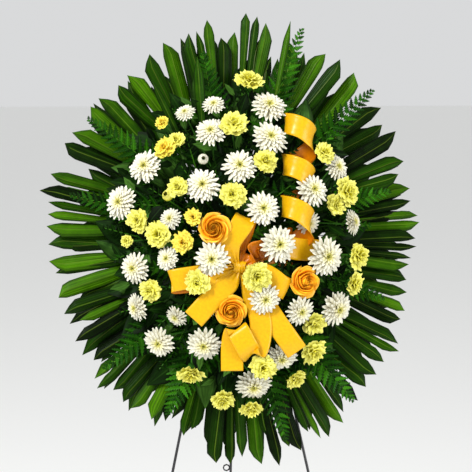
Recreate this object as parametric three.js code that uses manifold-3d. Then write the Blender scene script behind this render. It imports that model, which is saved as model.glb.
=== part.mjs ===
// A standing funeral spray: palm fans, fern, chrysanthemums, carnations, roses and a satin bow,
// stuck in a foam brick that is tied to a folding easel of black wire. Millimetres, +Z up.
import * as THREE from 'three';
import { mergeVertices } from 'three/addons/utils/BufferGeometryUtils.js';
import Module from 'manifold-3d';

const wasm = await Module();
wasm.setup();

// Driving dimensions of the easel
const WIRE = 4.8;
const LEAN = THREE.MathUtils.degToRad(9);
const LEG_SPREAD = THREE.MathUtils.degToRad(12);
const REAR_LEG_OPEN = THREE.MathUtils.degToRad(17);
const CENTRE_HEIGHT = 1100;
const LEGS_MEET_AT = 156;
const HOOP_RADIUS = 20;
const HINGE_AT = 30;
const LOWER_BAR_AT = -760;
const STOP_TAIL_END = 94;
const REST_BAR_OVERHANG = 26;
const STAY_EYE_HEIGHT = 632;
const STAY_EYE_RADIUS = 6;
const STAY_EYE_WIRE = 3;
const RUNNING_GAP = 0.4;
const WELD_SINK = 0.6;

// Driving dimensions of the holder
const FOAM = { width: 110, depth: 80, height: 230 };
const HANG_OFFSET = -12;
const TRAY_WALL = 2.4;
const TRAY_RIM = 16;
const TIE_AT = 74;
const EAR = { pastTie: 6, height: 20, hole: 3, holeBelowTop: 6 };
const TIE_WIRE = 1.2;
const GAP = 0.3;
const HINGE_DEPTH = WIRE - WELD_SINK;
const EYE_RADIUS = WIRE + RUNNING_GAP;
const TRAY_BACK = HINGE_DEPTH - EYE_RADIUS - WIRE / 2 - GAP;
const FOAM_BACK = TRAY_BACK - TRAY_WALL - GAP;
const REST_BAR_AT = -(FOAM.height / 2 + GAP + TRAY_WALL + GAP + WIRE / 2);
const SMALLEST_STEP = 0.05;

// Driving dimensions of the flowers and leaves
const BLADE_THICKNESS = 1;
const FERN_THICKNESS = 0.9;
const RIBBON_WIDTH = 37;
const RIBBON_THICKNESS = 0.9;
const RIBBON_ROOM = 0.5;
const MAIN_STEM = 2.2;
const SIDE_STEM = 1.4;
const LEAF_STALK = 2.4;
const STEM_IN_FOAM = 32;
const STEM_ROOM = 0.8;
const FLOWER_STEMS = -58;

// How a place in the front view becomes a place on the spray: columns and rows of the view,
// the real size of one step, and the eye that looked from slightly left of the middle
const VIEW = { middleColumn: 237.5, middleRow: 240, step: 1.75, distance: 2400, zeroDepth: -35 };
const VIEW_LEFT = Math.tan(THREE.MathUtils.degToRad(4.5));
const VIEW_BELOW = Math.tan(THREE.MathUtils.degToRad(1.5));

const object = new THREE.Group();
object.position.set(12, -72, 0);

// Places on the leaning face: x to the right, y back, z up the face
const face = new THREE.Group();
face.position.z = CENTRE_HEIGHT;
face.rotation.x = -LEAN;
object.add(face);
face.updateMatrix();

function at(column, row, depth) {
  const size = VIEW.step * (VIEW.distance + depth - VIEW.zeroDepth) / VIEW.distance;
  return new THREE.Vector3(
    (column - VIEW.middleColumn) * size + depth * VIEW_LEFT,
    depth,
    (VIEW.middleRow - row) * size + depth * VIEW_BELOW,
  );
}

// Closed meshes and solids
function solid(geometry) {
  const bare = new THREE.BufferGeometry();
  bare.setAttribute('position', geometry.getAttribute('position'));
  bare.setIndex(geometry.getIndex());
  const merged = mergeVertices(bare, 1e-4);
  const corners = merged.getIndex().array;
  const triVerts = new Uint32Array(insideOut(merged) ? corners.toReversed() : corners);
  const vertProperties = new Float32Array(merged.getAttribute('position').array);
  const mesh = new wasm.Mesh({ numProp: 3, vertProperties, triVerts });
  mesh.merge();
  return new wasm.Manifold(mesh);
}

function insideOut(geometry) {
  const place = geometry.getAttribute('position');
  const corners = geometry.getIndex().array;
  const corner = (i) => new THREE.Vector3().fromBufferAttribute(place, corners[i]);
  let volume = 0;
  for (let i = 0; i < corners.length; i += 3) volume += corner(i).dot(corner(i + 1).cross(corner(i + 2)));
  return volume < 0;
}

function geometryOf(manifold) {
  const mesh = largestBody(manifold.simplify(SMALLEST_STEP)).getMesh();
  const geometry = new THREE.BufferGeometry();
  geometry.setAttribute('position', new THREE.BufferAttribute(mesh.vertProperties, 3));
  geometry.setIndex(new THREE.BufferAttribute(mesh.triVerts, 1));
  geometry.computeVertexNormals();
  return geometry;
}

function largestBody(manifold) {
  const bodies = manifold.decompose();
  return bodies.reduce((best, body) => (body.volume() > best.volume() ? body : best));
}

function joined(manifolds) {
  return manifolds.reduce((all, one) => all.add(one));
}

function meets(a, b) {
  const boxA = a.boundingBox();
  const boxB = b.boundingBox();
  return [0, 1, 2].every((i) => boxA.min[i] < boxB.max[i] && boxB.min[i] < boxA.max[i]);
}

function clearOf(manifold, obstacles) {
  const near = obstacles.filter((obstacle) => meets(manifold, obstacle));
  return near.reduce((left, obstacle) => left.subtract(obstacle), manifold);
}

function meshGeometry(points, triangles) {
  const geometry = new THREE.BufferGeometry();
  const numbers = points.flatMap((point) => [point.x, point.y, point.z]);
  geometry.setAttribute('position', new THREE.Float32BufferAttribute(numbers, 3));
  geometry.setIndex(triangles.flat());
  return geometry;
}

// A thin sheet: its front surface, the same surface moved by one step per point, and the edge walls
function sheet(points, triangles, step) {
  const count = points.length;
  const back = points.map((point, i) => point.clone().add(Array.isArray(step) ? step[i] : step));
  const edges = new Map();
  for (const [a, b, c] of triangles) {
    for (const [from, to] of [[a, b], [b, c], [c, a]]) {
      const reverse = `${to},${from}`;
      if (edges.has(reverse)) edges.delete(reverse);
      else edges.set(`${from},${to}`, [from, to]);
    }
  }
  const faces = [];
  for (const [a, b, c] of triangles) faces.push([a, b, c], [c + count, b + count, a + count]);
  for (const [from, to] of edges.values()) {
    faces.push([from, from + count, to], [to, from + count, to + count]);
  }
  return solid(meshGeometry([...points, ...back], faces));
}

// A closed surface through rings of points, from a pole at the back to a pole in front.
// Where two rings differ in number, one has a whole number of times the points of the other.
function ringSurface(rings) {
  const faces = [];
  let start = 0;
  for (let r = 0; r + 1 < rings.length; r += 1) {
    const below = rings[r].length;
    const above = rings[r + 1].length;
    const firstBelow = start;
    const lower = (i) => firstBelow + (i % below);
    const upper = (i) => firstBelow + below + (i % above);
    const fanOut = above / below;
    const fanIn = below / above;
    for (let i = 0; i < Math.min(below, above); i += 1) {
      if (fanOut >= 1) {
        for (let j = fanOut * i; j < fanOut * (i + 1); j += 1) faces.push([lower(i), upper(j + 1), upper(j)]);
        if (below > 1) faces.push([lower(i), lower(i + 1), upper(fanOut * (i + 1))]);
      } else {
        for (let j = fanIn * i; j < fanIn * (i + 1); j += 1) faces.push([lower(j), lower(j + 1), upper(i)]);
        if (above > 1) faces.push([lower(fanIn * (i + 1)), upper(i + 1), upper(i)]);
      }
    }
    start += below;
  }
  return solid(meshGeometry(rings.flat(), faces));
}

function ring(count, radiusAt, heightAt) {
  return Array.from({ length: count }, (_, i) => {
    const angle = (i / count) * 2 * Math.PI;
    return new THREE.Vector3(Math.cos(angle) * radiusAt(i), Math.sin(angle) * radiusAt(i), heightAt(i));
  });
}

// Rings of points round a bent path, all turned the same way, for a wire or stalk
function ringsAlong(points, radius, sides, reference) {
  return points.map((place, i) => {
    const before = points[Math.max(0, i - 1)];
    const after = points[Math.min(points.length - 1, i + 1)];
    const along = after.clone().sub(before).normalize();
    const first = reference.clone().addScaledVector(along, -reference.dot(along)).normalize();
    const second = along.clone().cross(first);
    return ring(sides, () => radius, () => 0).map((p) => (
      place.clone().addScaledVector(first, p.x).addScaledVector(second, p.y)));
  });
}

function bentWire(points, radius, sides, reference) {
  const rings = ringsAlong(points, radius, sides, reference);
  return ringSurface([[points[0]], ...rings, [points[points.length - 1]]]);
}

function rod(points, radius, sides, stepsPerSpan = 2) {
  const outline = ring(sides, () => radius, () => 0).map((p) => new THREE.Vector2(p.x, p.y));
  const path = points.length === 2 ? new THREE.LineCurve3(...points) : new THREE.CatmullRomCurve3(points);
  const steps = points.length === 2 ? 1 : (points.length - 1) * stepsPerSpan;
  return solid(new THREE.ExtrudeGeometry(new THREE.Shape(outline), { steps, extrudePath: path }));
}

// The turn that makes +Z look along a direction, at a place
function outlook(place, direction, turn = 0) {
  const swing = new THREE.Quaternion().setFromUnitVectors(new THREE.Vector3(0, 0, 1), direction);
  const spin = new THREE.Quaternion().setFromAxisAngle(new THREE.Vector3(0, 0, 1), turn);
  return new THREE.Matrix4().compose(place, swing.multiply(spin), new THREE.Vector3(1, 1, 1));
}

// Materials
const petalWhite = new THREE.MeshStandardMaterial({ color: '#f4f2e8', roughness: 0.6, metalness: 0 });
const petalLemon = new THREE.MeshStandardMaterial({ color: '#f0ee72', roughness: 0.6, metalness: 0 });
const petalGold = new THREE.MeshStandardMaterial({ color: '#ffb21e', roughness: 0.5, metalness: 0 });
const palmGreen = new THREE.MeshStandardMaterial({ color: '#3c6014', roughness: 0.45, metalness: 0 });
const fernGreen = new THREE.MeshStandardMaterial({ color: '#1f5a1c', roughness: 0.5, metalness: 0 });
const satinGold = new THREE.MeshStandardMaterial({ color: '#f5c400', roughness: 0.35, metalness: 0 });
const foamGreen = new THREE.MeshStandardMaterial({ color: '#2f5a36', roughness: 0.95, metalness: 0 });
const trayGreen = new THREE.MeshStandardMaterial({ color: '#1f3b24', roughness: 0.5, metalness: 0 });
const tieWire = new THREE.MeshStandardMaterial({ color: '#3a4a3a', roughness: 0.5, metalness: 0.6 });
const blackWire = new THREE.MeshStandardMaterial({ color: '#16161a', roughness: 0.45, metalness: 0.5 });

function addNode(parent, name, manifold, material) {
  const mesh = new THREE.Mesh(geometryOf(manifold), material);
  mesh.name = name;
  parent.add(mesh);
}

// Stems: each starts inside the foam, on a line from a point near the foam's middle to its head
const foamMiddle = new THREE.Vector3(HANG_OFFSET, FOAM_BACK - FOAM.depth / 2, 0);

function foamSurface(from, to) {
  const half = [FOAM.width / 2, FOAM.depth / 2, FOAM.height / 2];
  const direction = to.clone().sub(from);
  const shares = ['x', 'y', 'z'].map((axis, i) => {
    const wall = foamMiddle[axis] + Math.sign(direction[axis] || 1) * half[i];
    return (wall - from[axis]) / (direction[axis] || 1e-9);
  });
  const share = Math.min(...shares.filter((value) => value > 0));
  return from.clone().addScaledVector(direction, share);
}

function stemRoot(to, depth) {
  const across = (to.x - HANG_OFFSET) * 0.12;
  const up = THREE.MathUtils.clamp(to.z * 0.25, -78, 78);
  return new THREE.Vector3(HANG_OFFSET + across, depth, up);
}

function stemStart(to, depth) {
  const root = stemRoot(to, depth);
  const surface = foamSurface(root, to);
  const inward = root.clone().sub(to).normalize();
  return surface.addScaledVector(inward, Math.min(STEM_IN_FOAM, surface.distanceTo(root)));
}

const STEM_SIDES = 4;
const MAIN_SIDES = 5;
const UP = new THREE.Vector3(0.1, 0.2, 1).normalize();

// Plain holes in the foam, a little wider than the stems, and the room that flowers and bow take up
const stemHoles = [];
const obstacles = [];

function stemHole([start, end], radius, sides, reference) {
  const outward = end.clone().sub(start).normalize();
  const bottom = start.clone().addScaledVector(outward, -GAP);
  stemHoles.push(bentWire([bottom, end], radius + GAP, sides, reference));
}

// Flower heads as rings, looking along +Z with the end of the stem at the origin

function chrysanthemum(across) {
  const r = across / 2;
  const petals = across > 44 ? 12 : 10;
  const wave = (i, high, low) => (i % 2 === 0 ? high : low);
  return [
    ring(STEM_SIDES, () => SIDE_STEM, () => 0),
    ring(petals * 2, (i) => wave(i, r, r * 0.76), (i) => wave(i, r * 0.4, r * 0.3)),
    ring(petals, () => r * 0.46, () => r * 0.42),
    ring(petals, (i) => wave(i, r * 0.66, r * 0.44), (i) => wave(i, r * 0.66, r * 0.52)),
    [new THREE.Vector3(0, 0, r * 0.42)],
  ];
}

function carnation(across) {
  const r = across / 2;
  const frill = across > 30 ? 12 : 8;
  const wave = (i, high, low) => (i % 2 === 0 ? high : low);
  return [
    ring(STEM_SIDES, () => r * 0.3, () => r * 0.12),
    ring(STEM_SIDES, () => r * 0.36, () => r * 0.75),
    ring(frill, (i) => wave(i, r, r * 0.82), (i) => wave(i, r * 0.95, r * 1.2)),
    ring(frill, (i) => wave(i, r * 0.5, r * 0.62), (i) => wave(i, r * 1.02, r * 1.4)),
    [new THREE.Vector3(0, 0, r * 1.3)],
  ];
}

function bud(across) {
  const r = across / 2;
  return [
    ring(STEM_SIDES, () => SIDE_STEM, () => 0),
    ring(8, () => r, () => r * 0.9),
    ring(8, () => r * 0.8, () => r * 1.8),
    [new THREE.Vector3(0, 0, r * 2.2)],
  ];
}

// A rose: a cup of five outer petals, a cup of five inner ones and a rolled bud, one in the other
function rose(across) {
  const r = across / 2;
  const lobes = 5;
  const cup = (count, radius, height, floor, turn) => {
    const lobe = (i) => Math.abs(Math.cos((i / count) * lobes * Math.PI + turn));
    return ringSurface([
      [new THREE.Vector3(0, 0, floor - r * 0.2)],
      ring(count, () => radius * 0.62, () => floor + height * 0.2),
      ring(count, (i) => radius * (0.86 + 0.14 * lobe(i)), (i) => floor + height * (0.84 + 0.16 * lobe(i))),
      ring(count, (i) => radius * (0.8 + 0.12 * lobe(i)), (i) => floor + height * (0.82 + 0.14 * lobe(i))),
      [new THREE.Vector3(0, 0, floor + height * 0.35)],
    ]);
  };
  return joined([
    cup(15, r, r * 0.95, r * 0.2, 0),
    cup(12, r * 0.72, r * 1.05, r * 0.25, 0.25),
    cup(8, r * 0.46, r * 1.15, r * 0.3, 0.3),
    ringSurface([
      [new THREE.Vector3(0, 0, r * 0.2)],
      ring(5, () => r * 0.26, () => r * 0.8),
      ring(5, () => r * 0.2, () => r * 1.5),
      [new THREE.Vector3(0, 0, r * 1.35)],
    ]),
  ]);
}

// The dome of heads: how far a head stands in front of the easel, and which way it looks
const DOME = { crown: -188, rim: -108, halfWidth: 215, halfHeight: 265 };

function headDepth(x, z) {
  const share = Math.min(1, ((x - HANG_OFFSET) / DOME.halfWidth) ** 2 + (z / DOME.halfHeight) ** 2);
  return DOME.crown + (DOME.rim - DOME.crown) * share;
}

function headPlace({ column, row, back = 0 }) {
  const guess = at(column, row, DOME.crown);
  return at(column, row, headDepth(guess.x, guess.z) + back);
}

function headDirection(place, look) {
  const [sideways, upward] = look ?? [(place.x - HANG_OFFSET) / 270, place.z / 340];
  return new THREE.Vector3(sideways, -1, upward).normalize();
}

const HEADS = {
  mum: { rings: chrysanthemum, tall: 0.66 },
  carnation: { rings: carnation, tall: 1.4 },
  bud: { rings: bud, tall: 2.2 },
  rose: { solid: rose, tall: 1.5 },
};

// How far along its stem each kind of spray forks, with the sprays that fork elsewhere
const HUB_SHARE = {
  mum: 0.55,
  carnation: 0.5,
  rose: 0.55,
  carnations_lower_left: 0.5,
  mums_bottom: 0.68,
};

// A spray: one stem out of the foam, forking at a hub into a side stem for each head
function spray(name, kind, heads, material) {
  const built = heads.map((head) => {
    const type = HEADS[head.kind ?? kind];
    const place = headPlace(head);
    const direction = headDirection(place, head.look);
    const r = head.across / 2;
    const calyx = place.clone().addScaledVector(direction, -type.tall * r * 0.6);
    return { head, type, direction, calyx, r };
  });
  const centre = new THREE.Vector3();
  for (const { calyx } of built) centre.addScaledVector(calyx, 1 / built.length);
  const root = stemRoot(centre, FLOWER_STEMS);
  const start = stemStart(centre, FLOWER_STEMS);
  const hub = root.clone().lerp(centre, HUB_SHARE[name] ?? HUB_SHARE[kind]);
  const beyond = centre.clone().sub(root).normalize();
  const fork = hub.clone().addScaledVector(beyond, MAIN_STEM);
  const parts = [bentWire([start, fork], MAIN_STEM, MAIN_SIDES, UP)];
  stemHole([start, fork], MAIN_STEM, MAIN_SIDES, UP);
  for (const { head, type, direction, calyx, r } of built) {
    const neck = calyx.clone().addScaledVector(direction, -Math.min(16, r));
    const matrix = outlook(calyx, direction, head.column);
    const reference = new THREE.Vector3().setFromMatrixColumn(matrix, 0);
    if (type.solid) {
      parts.push(type.solid(head.across).transform(matrix.elements));
      const inside = calyx.clone().addScaledVector(direction, r * 0.3);
      parts.push(bentWire([hub, neck, inside], MAIN_STEM, STEM_SIDES, reference));
    } else {
      const stalk = ringsAlong([hub, neck], SIDE_STEM, STEM_SIDES, reference);
      const petals = type.rings(head.across).map((points) => points.map((p) => p.applyMatrix4(matrix)));
      parts.push(ringSurface([[hub], ...stalk, ...petals]));
    }
    const stemRoom = (type.solid ? MAIN_STEM : SIDE_STEM) + STEM_ROOM;
    obstacles.push(bentWire([hub, neck, calyx], stemRoom, STEM_SIDES, reference));
    obstacles.push(headRoom(r, type.tall, neck.distanceTo(calyx)).transform(matrix.elements));
  }
  const pastFork = fork.clone().addScaledVector(beyond, STEM_ROOM);
  obstacles.push(bentWire([start, pastFork], MAIN_STEM + STEM_ROOM, MAIN_SIDES, UP));
  addNode(face, name, joined(parts), material);
}

function headRoom(r, tall, neckLength) {
  const sides = 7;
  const wide = (r + 1) / Math.cos(Math.PI / sides);
  return ringSurface([
    [new THREE.Vector3(0, 0, -neckLength - 2)],
    ring(sides, () => r * 0.36 + 1, () => 0),
    ring(sides, () => wide, () => r * Math.min(tall, 1.2) * 0.4 - 1),
    ring(sides, () => wide, () => r * tall + 1.5),
    [new THREE.Vector3(0, 0, r * tall + 2)],
  ]);
}

const mumSprays = {
  mums_upper_left: [
    { column: 186, row: 111, across: 33, back: 8 },
    { column: 215, row: 103, across: 38, back: 14 },
    { column: 211.5, row: 130, across: 51 },
    { column: 203, row: 184, across: 58 },
    { column: 204, row: 158, across: 17, kind: 'bud', look: [0, 0.1] },
  ],
  mums_left: [
    { column: 145, row: 165, across: 57 },
    { column: 119.7, row: 201, across: 57 },
    { column: 170, row: 218, across: 38, look: [-0.5, 0.3], back: 10 },
  ],
  mums_upper_right: [
    { column: 271.4, row: 104, across: 60 },
    { column: 272, row: 136, across: 60 },
    { column: 240.5, row: 165, across: 56 },
    { column: 263.8, row: 208.5, across: 56 },
  ],
  mums_right: [
    { column: 340, row: 167, across: 46, back: 6 },
    { column: 315, row: 189.6, across: 57 },
    { column: 355.7, row: 222.8, across: 42, look: [1.3, 0.2] },
    { column: 309.8, row: 224, across: 40, back: 26, look: [0.3, -0.3] },
    { column: 327.8, row: 257.8, across: 66 },
  ],
  mums_lower_left: [
    { column: 133, row: 267, across: 52 },
    { column: 166.3, row: 257.8, across: 40, look: [-0.6, 0.1] },
    { column: 211.5, row: 259, across: 57 },
    { column: 134.7, row: 306.7, across: 46, look: [-1.3, -0.3] },
    { column: 174.6, row: 316.5, across: 38, look: [-0.8, -0.8], back: 12 },
  ],
  mums_bottom: [
    { column: 157.3, row: 342, across: 53 },
    { column: 202.4, row: 345, across: 58 },
    { column: 251.8, row: 387, across: 60, look: [0.05, -0.8], back: -10 },
  ],
  mums_lower_right: [
    { column: 279.6, row: 245, across: 60 },
    { column: 264.6, row: 300, across: 52 },
    { column: 300.7, row: 312.8, across: 50 },
    { column: 338.3, row: 311, across: 60 },
    { column: 280.4, row: 359.4, across: 55, look: [0.1, -0.8] },
  ],
};

const carnationSprays = {
  carnations_upper_left: [
    { column: 163.3, row: 122, across: 22 },
    { column: 166, row: 148, across: 34 },
    { column: 177, row: 140, across: 28, back: 12 },
    { column: 178.4, row: 186.6, across: 32 },
    { column: 167, row: 194, across: 18, kind: 'bud' },
  ],
  carnations_left: [
    { column: 139, row: 219.7, across: 36 },
    { column: 159, row: 234, across: 40 },
    { column: 183, row: 242, across: 32 },
    { column: 127, row: 239.8, across: 20 },
    { column: 193.4, row: 216.7, across: 25 },
  ],
  carnations_top: [
    { column: 235, row: 124, across: 40 },
    { column: 251, row: 81, across: 44, look: [0.05, 1.5] },
    { column: 266, row: 161, across: 36 },
    { column: 232.5, row: 195, across: 38 },
  ],
  carnations_right: [
    { column: 326.3, row: 153.5, across: 33 },
    { column: 348, row: 192.7, across: 42, look: [0.9, 0.2] },
    { column: 336, row: 206, across: 34, back: 14 },
    { column: 358, row: 257, across: 40, look: [1, -0.1] },
    { column: 354, row: 285, across: 36, look: [1.1, -0.3] },
  ],
  carnations_lower_left: [
    { column: 150.5, row: 289.4, across: 36 },
    { column: 197, row: 282, across: 38 },
    { column: 189, row: 371.5, across: 40, look: [-0.2, -1.7] },
    { column: 220.5, row: 398.5, across: 36, look: [0, -0.9] },
  ],
  carnations_lower_right: [
    { column: 255.6, row: 276, across: 44 },
    { column: 312.8, row: 324, across: 38, back: 14, look: [0.4, -0.7] },
    { column: 312, row: 352, across: 40 },
    { column: 261, row: 368, across: 38, look: [0.1, -0.2], back: -30 },
    { column: 294, row: 379, across: 34, look: [0.8, -0.9] },
    { column: 248.8, row: 407.6, across: 36, look: [0, -1.4] },
  ],
};

const roses = {
  rose_upper: [{ column: 214, row: 228, across: 55, look: [-0.1, 0] }],
  rose_right: [{ column: 306, row: 283.4, across: 55, look: [0.3, -0.1] }],
  rose_lower: [{ column: 230, row: 312, across: 55, look: [0, -0.15] }],
};

for (const [name, heads] of Object.entries(mumSprays)) spray(name, 'mum', heads, petalWhite);
for (const [name, heads] of Object.entries(carnationSprays)) spray(name, 'carnation', heads, petalLemon);
for (const [name, heads] of Object.entries(roses)) spray(name, 'rose', heads, petalGold);

// The satin bow: strips that follow a path, with the way across the ribbon at each stop
function strip(stops, swell = 0) {
  const points = [];
  const steps = [];
  const triangles = [];
  stops.forEach(({ place, across, wide = 1 }, i) => {
    const last = stops.length - 1;
    const before = stops[Math.max(0, i - 1)].place;
    const after = stops[Math.min(last, i + 1)].place;
    const along = after.clone().sub(before).normalize();
    const past = (i === last ? swell : 0) - (i === 0 ? swell : 0);
    const side = new THREE.Vector3(...across);
    side.addScaledVector(along, -side.dot(along)).normalize();
    const out = along.clone().cross(side);
    const half = RIBBON_WIDTH * wide / 2 + swell;
    const low = place.clone().addScaledVector(out, -swell).addScaledVector(along, past);
    points.push(low.clone().addScaledVector(side, -half), low.clone().addScaledVector(side, half));
    out.multiplyScalar(RIBBON_THICKNESS + 2 * swell);
    steps.push(out, out);
    if (i > 0) triangles.push([2 * i - 2, 2 * i, 2 * i - 1], [2 * i - 1, 2 * i, 2 * i + 1]);
  });
  return sheet(points, triangles, steps);
}

// Each stop: column, row, depth, and the way across the ribbon
const stop = (column, row, depth, across, wide) => ({ place: at(column, row, depth), across, wide });

const KNOT = at(239, 267, -158);
const KNOT_RADIUS = 11;
const PICK = 1.5;
const bowStrips = {
  upperLoop: [
    stop(237, 268, -160, [1, 0, -0.1], 0.25),
    stop(229, 246, -174, [0.97, 0, -0.2]),
    stop(241, 226, -178, [0.94, 0, -0.34]),
    stop(247, 217, -168, [0.94, 0, -0.34]),
    stop(243, 230, -156, [0.94, 0, -0.3]),
    stop(239, 262, -154, [1, 0, -0.1], 0.25),
  ],
  leftLoop: [
    stop(236, 268, -160, [-0.1, 0, 1], 0.25),
    stop(205, 275, -170, [-0.15, 0, 1]),
    stop(178, 279, -170, [-0.25, 0, 1]),
    stop(170, 281, -161, [-0.25, 0, 1]),
    stop(180, 282, -152, [-0.2, 0, 1]),
    stop(210, 277, -147, [-0.1, 0, 1]),
    stop(237, 269, -154, [0, 0, 1], 0.25),
  ],
  rightLoop: [
    stop(241, 267, -158, [0.4, 0, 1], 0.25),
    stop(266, 276, -164, [0.5, 0, 0.86]),
    stop(281, 287, -166, [0.45, 0, 0.9]),
    stop(287, 290, -157, [0.45, 0, 0.9]),
    stop(280, 286, -149, [0.45, 0, 0.9]),
    stop(262, 275, -146, [0.4, 0, 0.9]),
    stop(241, 268, -154, [0.3, 0, 1], 0.25),
  ],
  shadedLoop: [
    stop(240, 266, -158, [0.7, 0, 0.7], 0.25),
    stop(251, 254, -158, [0.7, 0, 0.7]),
    stop(260, 247, -156, [0.75, 0, 0.65]),
    stop(264, 246, -149, [0.75, 0, 0.65]),
    stop(256, 254, -143, [0.7, 0, 0.7]),
    stop(241, 266, -152, [0.7, 0, 0.7], 0.25),
  ],
  leftTail: [
    stop(238, 268, -157, [0.82, 0, -0.3], 0.25),
    stop(227, 283, -166, [0.8, 0, -0.45]),
    stop(209, 301, -168, [0.816, 0, -0.58]),
    stop(192.3, 318.8, -164, [0.816, 0, -0.58]),
  ],
  lowerLoop: [
    stop(240, 268, -156, [1, 0, 0.1], 0.25),
    stop(254, 300, -156, [1, 0, 0.1]),
    stop(260, 325, -160, [1, 0, 0.15]),
    stop(257, 347, -166, [0.95, 0, 0.3]),
    stop(251, 355, -172, [0.9, 0, 0.4]),
    stop(246, 348, -180, [0.85, 0, 0.5]),
    stop(238, 333, -180, [0.8, 0, 0.6]),
    stop(234.5, 330, -172, [0.85, 0, 0.5]),
    stop(231, 345, -168, [1, 0, 0]),
    stop(230.5, 371, -166, [1, 0, -0.2]),
  ],
  rightTail: [
    stop(242, 268, -154, [1, 0, 0.4], 0.25),
    stop(262, 302, -152, [1, 0, 0.4]),
    stop(274, 321, -158, [0.9, 0, 0.45]),
    stop(287, 340, -160, [0.85, 0, 0.5]),
    stop(296, 353, -154, [0.9, 0, 0.3]),
  ],
};

// The tail that was drawn over a blade, so that it climbs in a coil beside the bow
const CURL = { turns: 2.9, radius: 19, stopsPerTurn: 8, startAngle: -0.6 };
function curledTailStops() {
  const stops = [
    stop(240, 266, -154, [0.2, 0, 1], 0.25),
    stop(262, 258, -136, [0.2, 0, 1], 0.7),
    stop(280, 252, -137, [0, 0, 1], 0.9),
  ];
  const foot = at(303, 250, -150);
  const top = at(301, 128, -118);
  const count = Math.round(CURL.turns * CURL.stopsPerTurn);
  for (let i = 0; i <= count; i += 1) {
    const angle = CURL.startAngle * Math.PI + (i / CURL.stopsPerTurn) * 2 * Math.PI;
    const place = foot.clone().lerp(top, i / count);
    place.x += Math.cos(angle) * CURL.radius;
    place.y -= Math.sin(angle) * CURL.radius;
    stops.push({ place, across: [0.35 * Math.sin(angle), 0, 1], wide: 0.86 });
  }
  return stops;
}

function knot(radius) {
  return solid(new THREE.SphereGeometry(radius, 8, 5).scale(1.1, 0.9, 1.2).translate(KNOT.x, KNOT.y, KNOT.z));
}

const ribbonStrips = [...Object.values(bowStrips), curledTailStops()];
const pickPoint = at(239, 267, FOAM_BACK - FOAM.depth + STEM_IN_FOAM);
const pick = bentWire([pickPoint, KNOT], PICK, STEM_SIDES, UP);
const bow = joined([knot(KNOT_RADIUS), pick, ...ribbonStrips.map((stops) => strip(stops))]);
stemHole([pickPoint, KNOT], PICK, STEM_SIDES, UP);
addNode(face, 'ribbon_bow', largestBody(clearOf(bow, obstacles)), satinGold);
obstacles.push(knot(KNOT_RADIUS + RIBBON_ROOM), ...ribbonStrips.map((stops) => strip(stops, RIBBON_ROOM)));
obstacles.push(bentWire([pickPoint, KNOT], PICK + GAP, STEM_SIDES, UP));

// Fern fronds: a flat frond on a stalk, its leaflets cut to the rib, arched a little
const FERN = { pairs: 6, rib: 1.6, arch: 10, bareStalk: 16 };

function fernOutline(length, width) {
  const side = (hand) => {
    const points = [];
    for (let i = 0; i < FERN.pairs; i += 1) {
      const share = (i + 0.3) / FERN.pairs;
      const pitch = length / FERN.pairs;
      const base = share * length;
      const reach = (width / 2) * (1 - share) ** 0.8 * (i === 0 ? 0.85 : 1);
      points.push([FERN.rib, base - pitch * 0.24]);
      points.push([reach * 0.55, base - pitch * 0.1 + reach * 0.16]);
      points.push([reach, base + pitch * 0.1 + reach * 0.45]);
      points.push([reach * 0.4, base + pitch * 0.42 + reach * 0.25]);
    }
    return points.map(([x, y]) => new THREE.Vector2(hand * x, y));
  };
  return [...side(1), new THREE.Vector2(0, length), ...side(-1).reverse()];
}

// Each fern: where its tip shows, the depth of its base and tip, and its length and width
function fern(name, { column, row, base, tip, long, width }) {
  const end = at(column, row, tip);
  const root = stemRoot(end, base);
  const along = end.clone().sub(root).normalize();
  const foamEdge = foamSurface(root, end);
  const length = Math.min(long, foamEdge.distanceTo(end) - FERN.bareStalk);
  const foot = end.clone().addScaledVector(along, -length);
  const forward = new THREE.Vector3(0, -1, 0);
  const out = forward.addScaledVector(along, -forward.dot(along)).normalize();
  const side = along.clone().cross(out);
  const outline = fernOutline(length, width);
  const arched = (p) => FERN.arch * Math.sin(Math.PI * THREE.MathUtils.clamp(p.y / length, 0, 1));
  const points = outline.map((p) => foot.clone()
    .addScaledVector(along, p.y).addScaledVector(side, p.x).addScaledVector(out, arched(p)));
  const triangles = THREE.ShapeUtils.triangulateShape(outline, []);
  const blade = sheet(points, triangles, out.clone().multiplyScalar(-FERN_THICKNESS));
  const start = stemStart(end, base);
  const hold = length * 0.12;
  const grip = foot.clone().addScaledVector(along, hold).addScaledVector(out, arched({ y: hold }));
  const stalk = bentWire([start, foot, grip], SIDE_STEM, STEM_SIDES, UP);
  const whole = largestBody(clearOf(blade.add(stalk), obstacles));
  stemHole([start, foot], SIDE_STEM, STEM_SIDES, UP);
  addNode(face, name, whole, fernGreen);
  leafObstacles.push(whole);
}

const leafObstacles = [];
const ferns = {
  fern_upper_left: { column: 90, row: 118, base: -46, tip: -88, long: 215, width: 100 },
  fern_top_left: { column: 205, row: 52, base: -46, tip: -92, long: 190, width: 105 },
  fern_top_right: { column: 305, row: 28, base: -46, tip: -88, long: 225, width: 95 },
  fern_right_upper: { column: 376, row: 90, base: -46, tip: -88, long: 215, width: 100 },
  fern_right: { column: 392, row: 192, base: -52, tip: -98, long: 215, width: 105 },
  fern_right_lower: { column: 384, row: 300, base: -46, tip: -90, long: 210, width: 110 },
  fern_lower_right: { column: 352, row: 402, base: -52, tip: -100, long: 225, width: 125 },
  fern_bottom: { column: 284, row: 440, base: -46, tip: -90, long: 200, width: 105 },
  fern_lower_left: { column: 166, row: 412, base: -52, tip: -100, long: 215, width: 125 },
  fern_left_lower: { column: 104, row: 366, base: -46, tip: -90, long: 225, width: 120 },
  fern_left: { column: 72, row: 194, base: -46, tip: -90, long: 225, width: 105 },
};
for (const [name, size] of Object.entries(ferns)) fern(name, size);

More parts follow.
